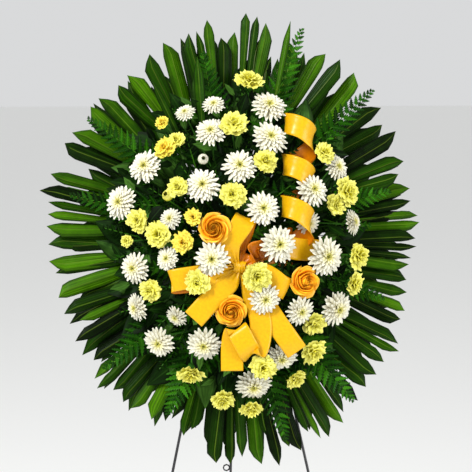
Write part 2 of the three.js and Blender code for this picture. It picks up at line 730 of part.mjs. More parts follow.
// Narrow strips of palm leaf that stand up in front among the flowers
function palmStrip(name, { tip, foot, wide }) {
  const end = at(...tip);
  const low = at(...foot);
  const along = end.clone().sub(low).normalize();
  const length = end.distanceTo(low);
  const forward = new THREE.Vector3(0, -1, 0);
  const side = along.clone().cross(forward).normalize();
  const outline = [[-0.32, 0], [-0.5, 0.45], [-0.42, 0.8], [0, 1], [0.42, 0.8], [0.5, 0.45], [0.32, 0]];
  const points = outline.map(([x, y]) => (
    low.clone().addScaledVector(along, y * length).addScaledVector(side, x * wide)));
  const flatOutline = outline.map(([x, y]) => new THREE.Vector2(x, y));
  const triangles = THREE.ShapeUtils.triangulateShape(flatOutline, []);
  const blade = sheet(points, triangles, new THREE.Vector3(0, BLADE_THICKNESS, 0));
  const start = stemStart(low, -52);
  const stalk = bentWire([start, low, low.clone().addScaledVector(along, 12)], SIDE_STEM, STEM_SIDES, UP);
  const whole = largestBody(clearOf(blade.add(stalk), [...obstacles, ...leafObstacles]));
  stemHole([start, low], SIDE_STEM, STEM_SIDES, UP);
  addNode(face, name, whole, palmGreen);
  leafObstacles.push(whole);
}

const palmStrips = {
  palm_strip_upper_left: { tip: [153, 78, -100], foot: [182, 140, -98], wide: 13 },
  palm_strip_top_left: { tip: [199, 55, -108], foot: [203, 120, -106], wide: 18 },
  palm_strip_top_right: { tip: [294, 19, -96], foot: [279, 90, -98], wide: 12 },
};
for (const [name, size] of Object.entries(palmStrips)) palmStrip(name, size);

// Palm fans: pleated blades that share their edges near the base and part towards their tips.
// Each fan is the list of its blades, and each blade the column and row where its tip shows.
const FAN = { baseBeyondFoam: 22, split: 0.42, shoulder: 24, pleat: 2.6, widest: 26 };

function fan(name, { tips, layer }) {
  const ends = tips.map(([column, row]) => at(column, row, VIEW.zeroDepth + layer.tip));
  const middle = new THREE.Vector3();
  for (const end of ends) middle.addScaledVector(end, 1 / ends.length);
  const root = stemRoot(middle, layer.base);
  const outward = middle.clone().sub(root).normalize();
  const base = foamSurface(root, middle).addScaledVector(outward, FAN.baseBeyondFoam);
  const blades = ends.map((end) => {
    const flat = new THREE.Vector2(end.x - base.x, end.z - base.z);
    return { angle: flat.angle(), length: flat.length() };
  });
  const turned = Math.atan2(middle.z - base.z, middle.x - base.x);
  for (const blade of blades) {
    blade.angle = THREE.MathUtils.euclideanModulo(blade.angle - turned + Math.PI, 2 * Math.PI) - Math.PI;
  }
  blades.sort((a, b) => a.angle - b.angle);
  const splitAt = FAN.split * Math.min(...blades.map((blade) => blade.length));
  const edgeShare = 0.5 * FAN.widest / (1.35 * splitAt);
  const halfAngle = (i, j) => {
    if (!blades[i] || !blades[j]) return edgeShare;
    return Math.min(edgeShare, Math.abs(blades[i].angle - blades[j].angle) / 2);
  };
  const rise = (reach, length) => THREE.MathUtils.lerp(base.y, VIEW.zeroDepth + layer.tip, reach / length);
  const points = [];
  const index = new Map();
  const vertex = (key, angle, reach, height) => {
    if (!index.has(key)) {
      const across = Math.cos(turned + angle) * reach;
      const up = Math.sin(turned + angle) * reach;
      index.set(key, points.length);
      points.push(new THREE.Vector3(base.x + across, height, base.z + up));
    }
    return index.get(key);
  };
  const triangles = [];
  blades.forEach((blade, i) => {
    const lower = halfAngle(i, i - 1);
    const upper = halfAngle(i, i + 1);
    const stations = [14, splitAt, blade.length - FAN.shoulder];
    const rows = stations.map((reach, k) => {
      const height = rise(reach, blade.length);
      const joinedUp = k < 2;
      const limit = (half) => (joinedUp ? half : Math.min(half * 0.86, Math.atan(FAN.widest / 2 / reach)));
      const low = joinedUp && blades[i - 1] ? `edge${i}:${k}` : `low${i}:${k}`;
      const high = joinedUp && blades[i + 1] ? `edge${i + 1}:${k}` : `high${i}:${k}`;
      const edgeHeight = rise(reach, blades[0].length);
      const shared = (ready) => (ready ? edgeHeight : height);
      return [
        vertex(low, blade.angle - limit(lower), reach, shared(joinedUp)),
        vertex(`ridge${i}:${k}`, blade.angle, reach, height - FAN.pleat * (k === 0 ? 0.3 : 1)),
        vertex(high, blade.angle + limit(upper), reach, shared(joinedUp)),
      ];
    });
    for (let k = 0; k + 1 < rows.length; k += 1) {
      const [a, b, c] = rows[k];
      const [d, e, f] = rows[k + 1];
      triangles.push([a, b, e], [a, e, d], [b, c, f], [b, f, e]);
    }
    const lean = (i % 2 === 0 ? 1 : -1) * 0.35 * Math.min(lower, upper);
    const [left, ridge, right] = rows[rows.length - 1];
    const point = vertex(`tip${i}`, blade.angle + lean, blade.length, rise(blade.length, blade.length));
    triangles.push([left, ridge, point], [ridge, right, point]);
  });
  const leaf = sheet(points, triangles, new THREE.Vector3(0, BLADE_THICKNESS, 0));
  const start = stemStart(middle, layer.base);
  const grip = base.clone().addScaledVector(outward, 36);
  const stalk = bentWire([start, grip], LEAF_STALK, STEM_SIDES, UP);
  const whole = largestBody(clearOf(leaf.add(stalk), [...obstacles, ...leafObstacles]));
  stemHole([start, grip], LEAF_STALK, STEM_SIDES, UP);
  addNode(face, name, whole, palmGreen);
  leafObstacles.push(whole);
}

const BACK_LAYER = { base: -25, tip: 8 };
const FRONT_LAYER = { base: -37, tip: -18 };
const fanTips = [
  [[235, 30], [250.3, 11.3], [259, 13.5], [271.4, 21]],
  [[226, 36], [207.7, 18], [200, 30], [189, 31.6]],
  [[169.3, 40], [147.5, 55], [131.7, 72], [117.4, 87]],
  [[102.3, 95], [90, 108], [75, 128], [64.7, 145]],
  [[78, 144], [51, 174], [54, 187]],
  [[41.4, 186.6], [49, 202], [49, 211], [47, 227]],
  [[49, 238], [49.7, 263.8], [57, 291]],
  [[63, 309], [79.8, 320], [73.7, 337]],
  [[91, 355], [94, 377.5], [95, 385], [114, 390]],
  [[119.7, 398.5], [131, 407.6], [146.7, 416.6]],
  [[161.8, 419], [170.8, 418], [179.9, 434.7], [190.4, 429]],
  [[210, 461.8], [229.5, 464], [238, 457]],
  [[255.6, 465.5], [278.9, 466.3], [285, 448]],
  [[296, 452.7], [307.5, 433], [318, 440.7], [328.6, 437.7]],
  [[339.9, 425.6], [344, 413.6], [355.7, 405], [367.7, 386.5]],
  [[373.7, 379.7], [385.8, 363], [399, 355.7], [400, 345]],
  [[400.8, 324], [406.8, 311], [408.3, 297], [408.3, 279]],
  [[411, 268], [413.6, 258.6], [418.9, 250], [418.9, 238]],
  [[421.9, 225.8], [421.9, 215], [414, 204], [412, 186.6]],
  [[402, 177.6], [406.8, 158.8], [402, 134.7]],
  [[388, 128], [382.8, 103.9], [362, 75]],
  [[346.6, 61], [326, 50], [298, 44]],
];
fanTips.forEach((tips, i) => {
  fan(`palm_fan_${i + 1}`, { tips, layer: i % 2 === 0 ? BACK_LAYER : FRONT_LAYER });
});

// The foam brick with a hole for each stem
function block(width, depth, height, x, y, z) {
  return solid(new THREE.BoxGeometry(width, depth, height).translate(x, y, z));
}

const brick = block(FOAM.width, FOAM.depth, FOAM.height, ...foamMiddle);
addNode(face, 'foam_brick', largestBody(clearOf(brick, stemHoles)), foamGreen);

// The tray behind the brick, with an ear at each lower corner for a tie
const trayWidth = FOAM.width + 2 * (GAP + TRAY_WALL);
const trayHeight = FOAM.height + 2 * (GAP + TRAY_WALL);
const trayMiddle = TRAY_BACK - TRAY_RIM / 2;
const earTop = -trayHeight / 2 + EAR.height;
const holeHeight = earTop - EAR.holeBelowTop;

function ear(hand) {
  const inner = HANG_OFFSET + hand * (trayWidth / 2 - TRAY_WALL);
  const outer = hand * (TIE_AT + EAR.pastTie);
  const middle = earTop - EAR.height / 2;
  const length = Math.abs(outer - inner);
  const plate = block(length, TRAY_WALL, EAR.height, (inner + outer) / 2, TRAY_BACK - TRAY_WALL / 2, middle);
  return plate.subtract(block(EAR.hole, TRAY_RIM, EAR.hole, hand * TIE_AT, TRAY_BACK, holeHeight));
}

const hollowMiddle = trayMiddle - TRAY_WALL;
const hollow = block(FOAM.width + 2 * GAP, TRAY_RIM, FOAM.height + 2 * GAP, HANG_OFFSET, hollowMiddle, 0);
const tray = block(trayWidth, TRAY_RIM, trayHeight, HANG_OFFSET, trayMiddle, 0).subtract(hollow);
addNode(face, 'foam_tray', joined([tray, ear(-1), ear(1)]), trayGreen);

// Ties: a loop of thin wire through each ear and round the bar that the tray rests on
const restBarDepth = -(WIRE - WELD_SINK);
for (const [name, hand] of [['tie_left', -1], ['tie_right', 1]]) {
  const x = hand * TIE_AT;
  const frontY = Math.min(restBarDepth - WIRE / 2, TRAY_BACK - TRAY_WALL) - TIE_WIRE;
  const backY = restBarDepth + WIRE / 2 + TIE_WIRE;
  const lowZ = REST_BAR_AT - WIRE / 2 - TIE_WIRE;
  const corner = (y, z) => new THREE.Vector3(x, y, z);
  const path = [[frontY, holeHeight], [backY, holeHeight], [backY, lowZ], [frontY, lowZ]];
  const sides = path.map(([y, z], i) => {
    const [nextY, nextZ] = path[(i + 1) % path.length];
    const from = corner(y, z);
    const to = corner(nextY, nextZ);
    const along = to.clone().sub(from).normalize().multiplyScalar(TIE_WIRE / 2);
    return rod([from.sub(along), to.add(along)], TIE_WIRE / 2, 6);
  });
  addNode(face, name, joined(sides), tieWire);
}

// The easel's front: one wire bent to a hoop at the top, with two bars welded across it, and a
// third bar welded on low down as a node of its own
const onFace = (x, y, z) => new THREE.Vector3(x, y, z).applyMatrix4(face.matrix);
const halfSpread = (z) => (LEGS_MEET_AT - z) * Math.tan(LEG_SPREAD);
const hoopCentre = LEGS_MEET_AT - HOOP_RADIUS / Math.sin(LEG_SPREAD);
const belowFloor = -(CENTRE_HEIGHT + 3 * WIRE) / Math.cos(LEAN);
const WIRE_SIDES = 8;

function hoopPoints() {
  const count = 8;
  return Array.from({ length: count + 1 }, (_, i) => {
    const angle = Math.PI - LEG_SPREAD + (i / count) * (2 * LEG_SPREAD - Math.PI);
    return onFace(Math.cos(angle) * HOOP_RADIUS, 0, hoopCentre + Math.sin(angle) * HOOP_RADIUS);
  });
}

const legBottom = (hand) => onFace(hand * halfSpread(belowFloor), 0, belowFloor);
const legs = [legBottom(-1), ...hoopPoints(), legBottom(1)];
const faceNormal = onFace(0, -1, 0).sub(onFace(0, 0, 0));
const bar = (half, y, z) => rod([onFace(-half, y, z), onFace(half, y, z)], WIRE / 2, WIRE_SIDES);
const floorSize = 2000;
const floorBlock = block(floorSize, floorSize, floorSize, 0, 0, -floorSize / 2);
const frontFrame = joined([
  bentWire(legs, WIRE / 2, WIRE_SIDES, faceNormal),
  bar(halfSpread(HINGE_AT) + WELD_SINK, HINGE_DEPTH, HINGE_AT),
  bar(halfSpread(REST_BAR_AT) + REST_BAR_OVERHANG, restBarDepth, REST_BAR_AT),
]).subtract(floorBlock);
addNode(object, 'easel_front_frame', frontFrame, blackWire);
const lowerBar = bar(halfSpread(LOWER_BAR_AT) + WIRE, restBarDepth, LOWER_BAR_AT);
addNode(object, 'easel_lower_bar', lowerBar.subtract(frontFrame), blackWire);

// The rear leg: an eye round the hinge bar, a straight leg, a stop tail that meets the hoop from
// behind when the leg is open, and a small eye for a stay
const hinge = onFace(0, HINGE_DEPTH, HINGE_AT);
const tailPlace = (z) => onFace(0, WIRE + RUNNING_GAP, z);
const legDown = new THREE.Vector3(0, Math.sin(REAR_LEG_OPEN), -Math.cos(REAR_LEG_OPEN));
const legBehind = new THREE.Vector3(0, Math.cos(REAR_LEG_OPEN), Math.sin(REAR_LEG_OPEN));
const legTop = hinge.clone().addScaledVector(legBehind, EYE_RADIUS);
const pastFloor = (legTop.z + 3 * WIRE) / Math.cos(REAR_LEG_OPEN);
const legEnd = legTop.clone().addScaledVector(legDown, pastFloor);
const toStay = (legTop.z - STAY_EYE_HEIGHT) / Math.cos(REAR_LEG_OPEN);
const stayEye = legTop.clone().addScaledVector(legDown, toStay);
stayEye.x -= STAY_EYE_RADIUS + WIRE / 2;
const hingeEye = new THREE.TorusGeometry(EYE_RADIUS, WIRE / 2, 6, 12);
hingeEye.rotateY(Math.PI / 2).translate(...hinge);
const smallEye = new THREE.TorusGeometry(STAY_EYE_RADIUS, STAY_EYE_WIRE / 2, 5, 8);
smallEye.rotateX(Math.PI / 2).translate(...stayEye);
const rearLeg = joined([
  solid(hingeEye),
  rod([legTop, legEnd], WIRE / 2, WIRE_SIDES),
  rod([tailPlace(HINGE_AT + EYE_RADIUS), tailPlace(STOP_TAIL_END)], WIRE / 2, WIRE_SIDES),
  solid(smallEye),
]).subtract(floorBlock);
addNode(object, 'easel_rear_leg', rearLeg, blackWire);

export default object;
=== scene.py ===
import math
import random

import bpy
from mathutils import Matrix, Vector


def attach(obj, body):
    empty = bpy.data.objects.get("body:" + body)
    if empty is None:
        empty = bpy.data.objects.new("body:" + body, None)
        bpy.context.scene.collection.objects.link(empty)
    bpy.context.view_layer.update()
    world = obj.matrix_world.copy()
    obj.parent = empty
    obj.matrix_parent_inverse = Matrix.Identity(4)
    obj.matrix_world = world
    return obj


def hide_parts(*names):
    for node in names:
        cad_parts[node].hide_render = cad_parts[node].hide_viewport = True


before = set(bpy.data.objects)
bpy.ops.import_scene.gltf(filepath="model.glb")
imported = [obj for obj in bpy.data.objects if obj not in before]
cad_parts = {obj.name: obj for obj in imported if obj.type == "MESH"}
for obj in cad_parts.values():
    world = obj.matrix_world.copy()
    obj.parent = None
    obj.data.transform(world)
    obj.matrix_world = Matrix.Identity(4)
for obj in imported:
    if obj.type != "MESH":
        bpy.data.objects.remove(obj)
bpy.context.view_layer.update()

# The view: a long lens a little left of the middle that looks slightly down on the leaning face.
# Places on the spray are given as a column and row of that view and a depth behind the easel's face.
LEAN = math.radians(9)
FACE = Matrix.Translation((0.012, -0.072, 1.1)) @ Matrix.Rotation(-LEAN, 4, "X")
VIEW_STEP = 0.00175
VIEW_DISTANCE = 2.4
VIEW_ZERO = -0.035
VIEW_MIDDLE = (237.5, 240)
VIEW_LEFT = math.tan(math.radians(4.5))
VIEW_BELOW = math.tan(math.radians(1.5))
FRAME_SIZE = 472
SENSOR = 36


def seen_at(column, row, depth):
    size = VIEW_STEP * (VIEW_DISTANCE + depth - VIEW_ZERO) / VIEW_DISTANCE
    return Vector((
        (column - VIEW_MIDDLE[0]) * size + depth * VIEW_LEFT,
        depth,
        (VIEW_MIDDLE[1] - row) * size + depth * VIEW_BELOW,
    ))


eye_depth = VIEW_ZERO - VIEW_DISTANCE
eye = FACE @ Vector((eye_depth * VIEW_LEFT, eye_depth, eye_depth * VIEW_BELOW))
aim = FACE @ seen_at(FRAME_SIZE / 2, FRAME_SIZE / 2, VIEW_ZERO)
lens = bpy.data.cameras.new("long_lens")
lens.lens = SENSOR * VIEW_DISTANCE / VIEW_STEP / FRAME_SIZE
lens.sensor_width = SENSOR
camera = bpy.data.objects.new("camera", lens)
camera.location = eye
camera.rotation_euler = (aim - eye).to_track_quat("-Z", "Y").to_euler()
bpy.context.scene.collection.objects.link(camera)
bpy.context.scene.camera = camera
bpy.context.scene.view_settings.view_transform = "Standard"


# Every colour is given as it looks on a screen, and turned into its linear value here.
def linear(code):
    def one(part):
        value = int(part, 16) / 255
        return value / 12.92 if value <= 0.04045 else ((value + 0.055) / 1.055) ** 2.4
    return (one(code[0:2]), one(code[2:4]), one(code[4:6]), 1.0)


def add_node(tree, kind, settings=(), links=()):
    node = tree.nodes.new(kind)
    for key, value in dict(settings).items():
        if isinstance(key, str) and hasattr(node, key):
            setattr(node, key, value)
        else:
            node.inputs[key].default_value = value
    for key, socket in dict(links).items():
        tree.links.new(socket, node.inputs[key])
    return node


def new_material(name, colour, roughness, metallic=0.0):
    material = bpy.data.materials.new(name)
    material.use_nodes = True
    shader = material.node_tree.nodes["Principled BSDF"]
    shader.inputs["Base Color"].default_value = linear(colour)
    shader.inputs["Roughness"].default_value = roughness
    shader.inputs["Metallic"].default_value = metallic
    return material, material.node_tree, shader


# The studio: a plain pale painted floor, a pale surround, one big soft light high on the left
# and a weaker one on the right.
bpy.ops.object.select_all(action="DESELECT")
bpy.ops.mesh.primitive_plane_add(size=80)
floor = bpy.context.object
floor.name = "studio_floor"
floor_paint, tree, floor_shader = new_material("pale_floor_paint", "f7f7f5", 0.85)
floor_shader.inputs["Specular IOR Level"].default_value = 0.1
floor.data.materials.append(floor_paint)

surround = bpy.data.worlds.new("pale_surround")
surround.use_nodes = True
backdrop = surround.node_tree.nodes["Background"]
backdrop.inputs["Color"].default_value = linear("f2f3f4")
backdrop.inputs["Strength"].default_value = 0.78
bpy.context.scene.world = surround

SPRAY_MIDDLE = Vector((0, -0.1, 1.1))
for name, place, size, power in (
    ("soft_light_left", (-2.0, -2.6, 3.6), 1.1, 165),
    ("soft_light_right", (2.8, -2.4, 2.0), 1.6, 60),
):
    light = bpy.data.lights.new(name, "AREA")
    light.size = size
    light.energy = power
    holder = bpy.data.objects.new(name, light)
    holder.location = place
    holder.rotation_euler = (SPRAY_MIDDLE - Vector(place)).to_track_quat("-Z", "Y").to_euler()
    bpy.context.scene.collection.objects.link(holder)


# The easel: drawn steel wire, bent and spot welded, with black stove enamel that is a little
# uneven and duller where it has been handled. Each pattern's size is given in millimetres.
def per_metre(millimetres):
    return round(1000 / millimetres)


def speckle(tree, shader, size, detail, colours=(), bump=()):
    """Fine mottling of one real size that may tint the surface and give it relief."""
    coords = add_node(tree, "ShaderNodeTexCoord")
    cells = add_node(tree, "ShaderNodeTexNoise", {"Scale": per_metre(size), "Detail": detail},
                     {"Vector": coords.outputs["Object"]})
    if colours:
        shade = add_node(tree, "ShaderNodeValToRGB", {}, {"Fac": cells.outputs["Fac"]})
        for element, code in zip(shade.color_ramp.elements, colours):
            element.color = linear(code)
        tree.links.new(shade.outputs["Color"], shader.inputs["Base Color"])
    if bump:
        strength, height = bump
        relief = add_node(tree, "ShaderNodeBump", {"Strength": strength, "Distance": height},
                          {"Height": cells.outputs["Fac"]})
        tree.links.new(relief.outputs["Normal"], shader.inputs["Normal"])
    return cells


def coat(material, *nodes):
    for node in nodes:
        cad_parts[node].data.materials.clear()
        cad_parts[node].data.materials.append(material)


enamel, tree, shader = new_material("black_stove_enamel", "141416", 0.38)
blotches = speckle(tree, shader, size=16.7, detail=4, colours=("0e0e10", "242427"))
dull = add_node(tree, "ShaderNodeMapRange", {"To Min": 0.3, "To Max": 0.5},
                {"Value": blotches.outputs["Fac"]})
tree.links.new(dull.outputs["Result"], shader.inputs["Roughness"])
speckle(tree, shader, size=1.11, detail=2, bump=(0.12, 0.0004))
coat(enamel, "easel_front_frame", "easel_lower_bar", "easel_rear_leg")


# The holder: a brick of open-cell flower foam, moulded in green and crumbly, in a tray of
# moulded polypropylene with a fine orange-peel skin, which two twists of lacquered wire, scuffed
# along the lay, tie to the easel.
foam, tree, shader = new_material("phenolic_flower_foam", "2f5a36", 0.95)
speckle(tree, shader, size=1.43, detail=6, colours=("1d3f24", "3f7048"), bump=(0.7, 0.001))
coat(foam, "foam_brick")

polypropylene, tree, shader = new_material("green_moulded_polypropylene", "1f3b24", 0.42)
speckle(tree, shader, size=2.22, detail=1, bump=(0.1, 0.0005))
coat(polypropylene, "foam_tray")

florist_wire, tree, shader = new_material("lacquered_florist_wire", "3f5a40", 0.4, 0.5)
speckle(tree, shader, size=3.33, detail=3, colours=("2c4630", "5a7a5c"))
coat(florist_wire, "tie_left", "tie_right")


# The palm: cut fans of pleated blades, stiff and glossy, with a pale midrib down each fold and
# ends cut to a point. A blade is modelled once as a plain closed strip of cells, and each copy is
# bent to its own length, width and pleats.
FOAM_MIDDLE = Vector((-0.012, -0.0464, 0))
FOAM_HALF = Vector((0.055, 0.04, 0.115))
STEM_IN_FOAM = 0.032
FORWARD = Vector((0, -1, 0))


def plain_strip(cells_across, cells_along):
    bpy.ops.object.select_all(action="DESELECT")
    bpy.ops.mesh.primitive_grid_add(x_subdivisions=cells_across, y_subdivisions=cells_along, size=2)
    pattern = bpy.context.object
    bpy.ops.object.mode_set(mode="EDIT")
    bpy.ops.mesh.select_all(action="SELECT")
    bpy.ops.mesh.duplicate()
    bpy.ops.mesh.flip_normals()
    bpy.ops.object.mode_set(mode="OBJECT")
    count = len(pattern.data.vertices) // 2
    for vertex in pattern.data.vertices:
        vertex.co.z = 0.5 if vertex.index < count else -0.5
        if abs(vertex.co.x) > 0.999 or abs(vertex.co.y) > 0.999:
            vertex.co.z = 0
    bpy.ops.object.mode_set(mode="EDIT")
    bpy.ops.mesh.select_all(action="SELECT")
    bpy.ops.mesh.remove_doubles(threshold=0.0001)
    bpy.ops.object.mode_set(mode="OBJECT")
    points = [(v.co.x, (v.co.y + 1) / 2, v.co.z) for v in pattern.data.vertices]
    faces = [tuple(face.vertices) for face in pattern.data.polygons]
    data = pattern.data
    bpy.data.objects.remove(pattern)
    bpy.data.meshes.remove(data)
    return points, faces


class Growth:
    """The points, faces and surface values of one piece while its leaves or petals are added."""

    def __init__(self):
        self.points = []
        self.faces = []
        self.along = []
        self.across = []
        self.tone = []
        self.finish = []

    def add(self, pattern, shape, tone, finish=0):
        """Copy a plain pattern, with shape(across, along) giving the middle, the half thickness
        and the outward direction at each of its points."""
        first = len(self.points)
        points, faces = pattern
        for u, v, side in points:
            place, thickness, out = shape(u, v)
            self.points.append(place + out * (thickness * side))
            self.along.append(v)
            self.across.append(u)
            self.tone.append(tone)
        self.faces.extend(tuple(first + i for i in face) for face in faces)
        self.finish.extend([finish] * len(faces))

    def stem(self, path, radius, tone, finish, sides=6):
        """A round stem through the points of a path, closed at both ends."""
        first = len(self.points)
        radii = radius if isinstance(radius, (list, tuple)) else [radius] * len(path)
        reference = Vector((0.3, -0.8, 0.52)).normalized()
        for i, place in enumerate(path):
            ahead = path[min(i + 1, len(path) - 1)] - path[max(i - 1, 0)]
            ahead.normalize()
            right = reference.cross(ahead).normalized()
            up = ahead.cross(right)
            for k in range(sides):
                angle = 2 * math.pi * k / sides
                self.points.append(place + (right * math.cos(angle) + up * math.sin(angle)) * radii[i])
                self.along.append(i / (len(path) - 1))
                self.across.append(0.0)
                self.tone.append(tone)
        for i in range(len(path) - 1):
            for k in range(sides):
                a = first + i * sides + k
                b = first + i * sides + (k + 1) % sides
                self.faces.append((a, b, b + sides, a + sides))
                self.finish.append(finish)
        self.faces.append(tuple(first + k for k in reversed(range(sides))))
        self.faces.append(tuple(first + (len(path) - 1) * sides + k for k in range(sides)))
        self.finish.extend([finish, finish])

    def piece(self, name, materials, slot, nodes=()):
        """Make the piece, set on the leaning face and ready to ride with the spray."""
        mesh = bpy.data.meshes.new(name)
        mesh.from_pydata([FACE @ point for point in self.points], [], self.faces)
        for key, values in (("along", self.along), ("across", self.across), ("tone", self.tone)):
            mesh.attributes.new(key, "FLOAT", "POINT").data.foreach_set("value", values)
        for material in materials:
            mesh.materials.append(material)
        mesh.polygons.foreach_set("material_index", self.finish)
        mesh.polygons.foreach_set("use_smooth", [True] * len(mesh.polygons))
        mesh.set_sharp_from_angle(angle=math.radians(55))
        mesh.update()
        made = bpy.data.objects.new(name, mesh)
        bpy.context.scene.collection.objects.link(made)
        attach(made, "spray_on_easel")
        if nodes:
            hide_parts(*nodes)
        return made


LEAF_PATCH = 22.2
LEAF_DRIFT = 0.4
RIB_FADE = (0.02, 0.24, 0.08, 0)
# Painted shade: the green is multiplied down to 0.3 over the outer part of each leaf, towards its edge.
PAINTED_EDGE_SHADE = (0.6, 1, 1, 0.3)
STREAKS = {"Scale": (4.5, 1.1, 31.0)}
STREAK_LEVELS = {"From Min": 0.34, "From Max": 0.68, "To Min": 0.5, "To Max": 1.3}
VEIN_RELIEF = {"Strength": 0.35, "Distance": 0.0006}


def leaf_material(name, dark, middle, light, rib, roughness, veins):
    """A waxy leaf: its green drifts from leaf to leaf and runs in streaks along it, darkens to
    the edge as painted shade, and is paler on the rib; fine veins stand up along it. Streaks and
    veins follow the blade, so they are counted across it and not per metre."""
    material, tree, shader = new_material(name, middle, roughness)
    shader.inputs["Specular IOR Level"].default_value = 0.05
    tone, across, along = (
        add_node(tree, "ShaderNodeAttribute", {"attribute_name": key}).outputs["Fac"]
        for key in ("tone", "across", "along"))
    coords = add_node(tree, "ShaderNodeTexCoord")
    patches = add_node(tree, "ShaderNodeTexNoise", {"Scale": per_metre(LEAF_PATCH), "Detail": 4.0},
                       {"Vector": coords.outputs["Object"]})
    drift = add_node(tree, "ShaderNodeMath", {"operation": "MULTIPLY_ADD", 1: LEAF_DRIFT, 2: -LEAF_DRIFT / 2},
                     {0: patches.outputs["Fac"]})
    level = add_node(tree, "ShaderNodeMath", {"operation": "ADD"}, {0: tone, 1: drift.outputs["Value"]})
    greens = add_node(tree, "ShaderNodeValToRGB", {}, {"Fac": level.outputs["Value"]})
    greens.color_ramp.elements[0].color = linear(dark)
    greens.color_ramp.elements[1].color = linear(light)
    greens.color_ramp.elements.new(0.5).color = linear(middle)
    from_rib = add_node(tree, "ShaderNodeMath", {"operation": "ABSOLUTE"}, {0: across})

    def fade(start, first, stop, last):
        ramp = add_node(tree, "ShaderNodeValToRGB", {}, {"Fac": from_rib.outputs["Value"]})
        for element, position, grey in zip(ramp.color_ramp.elements, (start, stop), (first, last)):
            element.position = position
            element.color = (grey, grey, grey, 1)
        return ramp.outputs["Color"]

    ribbed = add_node(tree, "ShaderNodeMix", {"data_type": "RGBA", 7: linear(rib)},
                      {0: fade(*RIB_FADE), 6: greens.outputs["Color"]})
    # Painted shade towards the edge of the leaf.
    edge_shaded = add_node(tree, "ShaderNodeMix", {"data_type": "RGBA", "blend_type": "MULTIPLY", 0: 1.0},
                     {6: ribbed.outputs[2], 7: fade(*PAINTED_EDGE_SHADE)})
    place = add_node(tree, "ShaderNodeCombineXYZ", {}, {"X": across, "Y": along, "Z": tone})
    stretched = add_node(tree, "ShaderNodeMapping", STREAKS, {"Vector": place.outputs["Vector"]})
    streaks = add_node(tree, "ShaderNodeTexNoise", {"Scale": 1.0, "Detail": 3.0},
                       {"Vector": stretched.outputs["Vector"]})
    levels = add_node(tree, "ShaderNodeMapRange", STREAK_LEVELS, {"Value": streaks.outputs["Fac"]})
    streaked = add_node(tree, "ShaderNodeVectorMath", {"operation": "SCALE"},
                        {"Vector": edge_shaded.outputs[2], "Scale": levels.outputs["Result"]})
    tree.links.new(streaked.outputs["Vector"], shader.inputs["Base Color"])
    add_veins(tree, shader, across, veins, VEIN_RELIEF)
    return material


def add_veins(tree, shader, across, veins, relief):
    """Fine veins side by side across a leaf or petal, as relief."""
    folds = add_node(tree, "ShaderNodeMath", {"operation": "MULTIPLY", 1: veins}, {0: across})
    wave = add_node(tree, "ShaderNodeMath", {"operation": "SINE"}, {0: folds.outputs["Value"]})
    bumps = add_node(tree, "ShaderNodeBump", relief, {"Height": wave.outputs["Value"]})
    tree.links.new(bumps.outputs["Normal"], shader.inputs["Normal"])


def foam_surface(start, end):
    direction = end - start
    shares = []
    for axis in range(3):
        if abs(direction[axis]) > 1e-9:
            wall = FOAM_MIDDLE[axis] + math.copysign(FOAM_HALF[axis], direction[axis])
            share = (wall - start[axis]) / direction[axis]
            if share > 0:
                shares.append(share)
    return start + direction * min(shares)


def stem_root(end, depth):
    across = (end.x - FOAM_MIDDLE.x) * 0.12
    up = max(-0.078, min(0.078, end.z * 0.25))
    return Vector((FOAM_MIDDLE.x + across, depth, up))


def stem_start(end, depth):
    root = stem_root(end, depth)
    surface = foam_surface(root, end)
    inward = (root - end).normalized()
    return surface + inward * min(STEM_IN_FOAM, (surface - root).length)


PALM_BACK = {"base": -0.025, "tip": 0.008}
PALM_FRONT = {"base": -0.037, "tip": -0.018}
PALM_WIDE = 0.028
PALM_SPLIT = 0.42
PALM_SHOULDER = 0.019
PALM_PLEAT = 0.0048
PALM_THICK = 0.0007
PALM_FOOT = 0.014
PALM_BASE_OUT = 0.022
PALM_STALK = 0.0024
PALM_STALK_END = 0.001
palm_green = leaf_material("palm_leaf", "061400", "1e4200", "4a7c04", "86a034", 0.32, 26.0)
palm_blade = plain_strip(10, 16)
palm_fans = [
    [(235, 30), (250.3, 11.3), (259, 13.5), (271.4, 21)],
    [(226, 36), (207.7, 18), (200, 30), (189, 31.6)],
    [(169.3, 40), (147.5, 55), (131.7, 72), (117.4, 87)],
    [(102.3, 95), (90, 108), (75, 128), (64.7, 145)],
    [(78, 144), (51, 174), (54, 187)],
    [(41.4, 186.6), (49, 202), (49, 211), (47, 227)],
    [(49, 238), (49.7, 263.8), (57, 291)],
    [(63, 309), (79.8, 320), (73.7, 337)],
    [(91, 355), (94, 377.5), (95, 385), (114, 390)],
    [(119.7, 398.5), (131, 407.6), (146.7, 416.6)],
    [(161.8, 419), (170.8, 418), (179.9, 434.7), (190.4, 429)],
    [(210, 461.8), (229.5, 464), (238, 457)],
    [(255.6, 465.5), (278.9, 466.3), (285, 448)],
    [(296, 452.7), (307.5, 433), (318, 440.7), (328.6, 437.7)],
    [(339.9, 425.6), (344, 413.6), (355.7, 405), (367.7, 386.5)],
    [(373.7, 379.7), (385.8, 363), (399, 355.7), (400, 345)],
    [(400.8, 324), (406.8, 311), (408.3, 297), (408.3, 279)],
    [(411, 268), (413.6, 258.6), (418.9, 250), (418.9, 238)],
    [(421.9, 225.8), (421.9, 215), (414, 204), (412, 186.6)],
    [(402, 177.6), (406.8, 158.8), (402, 134.7)],
    [(388, 128), (382.8, 103.9), (362, 75)],
    [(346.6, 61), (326, 50), (298, 44)],
]


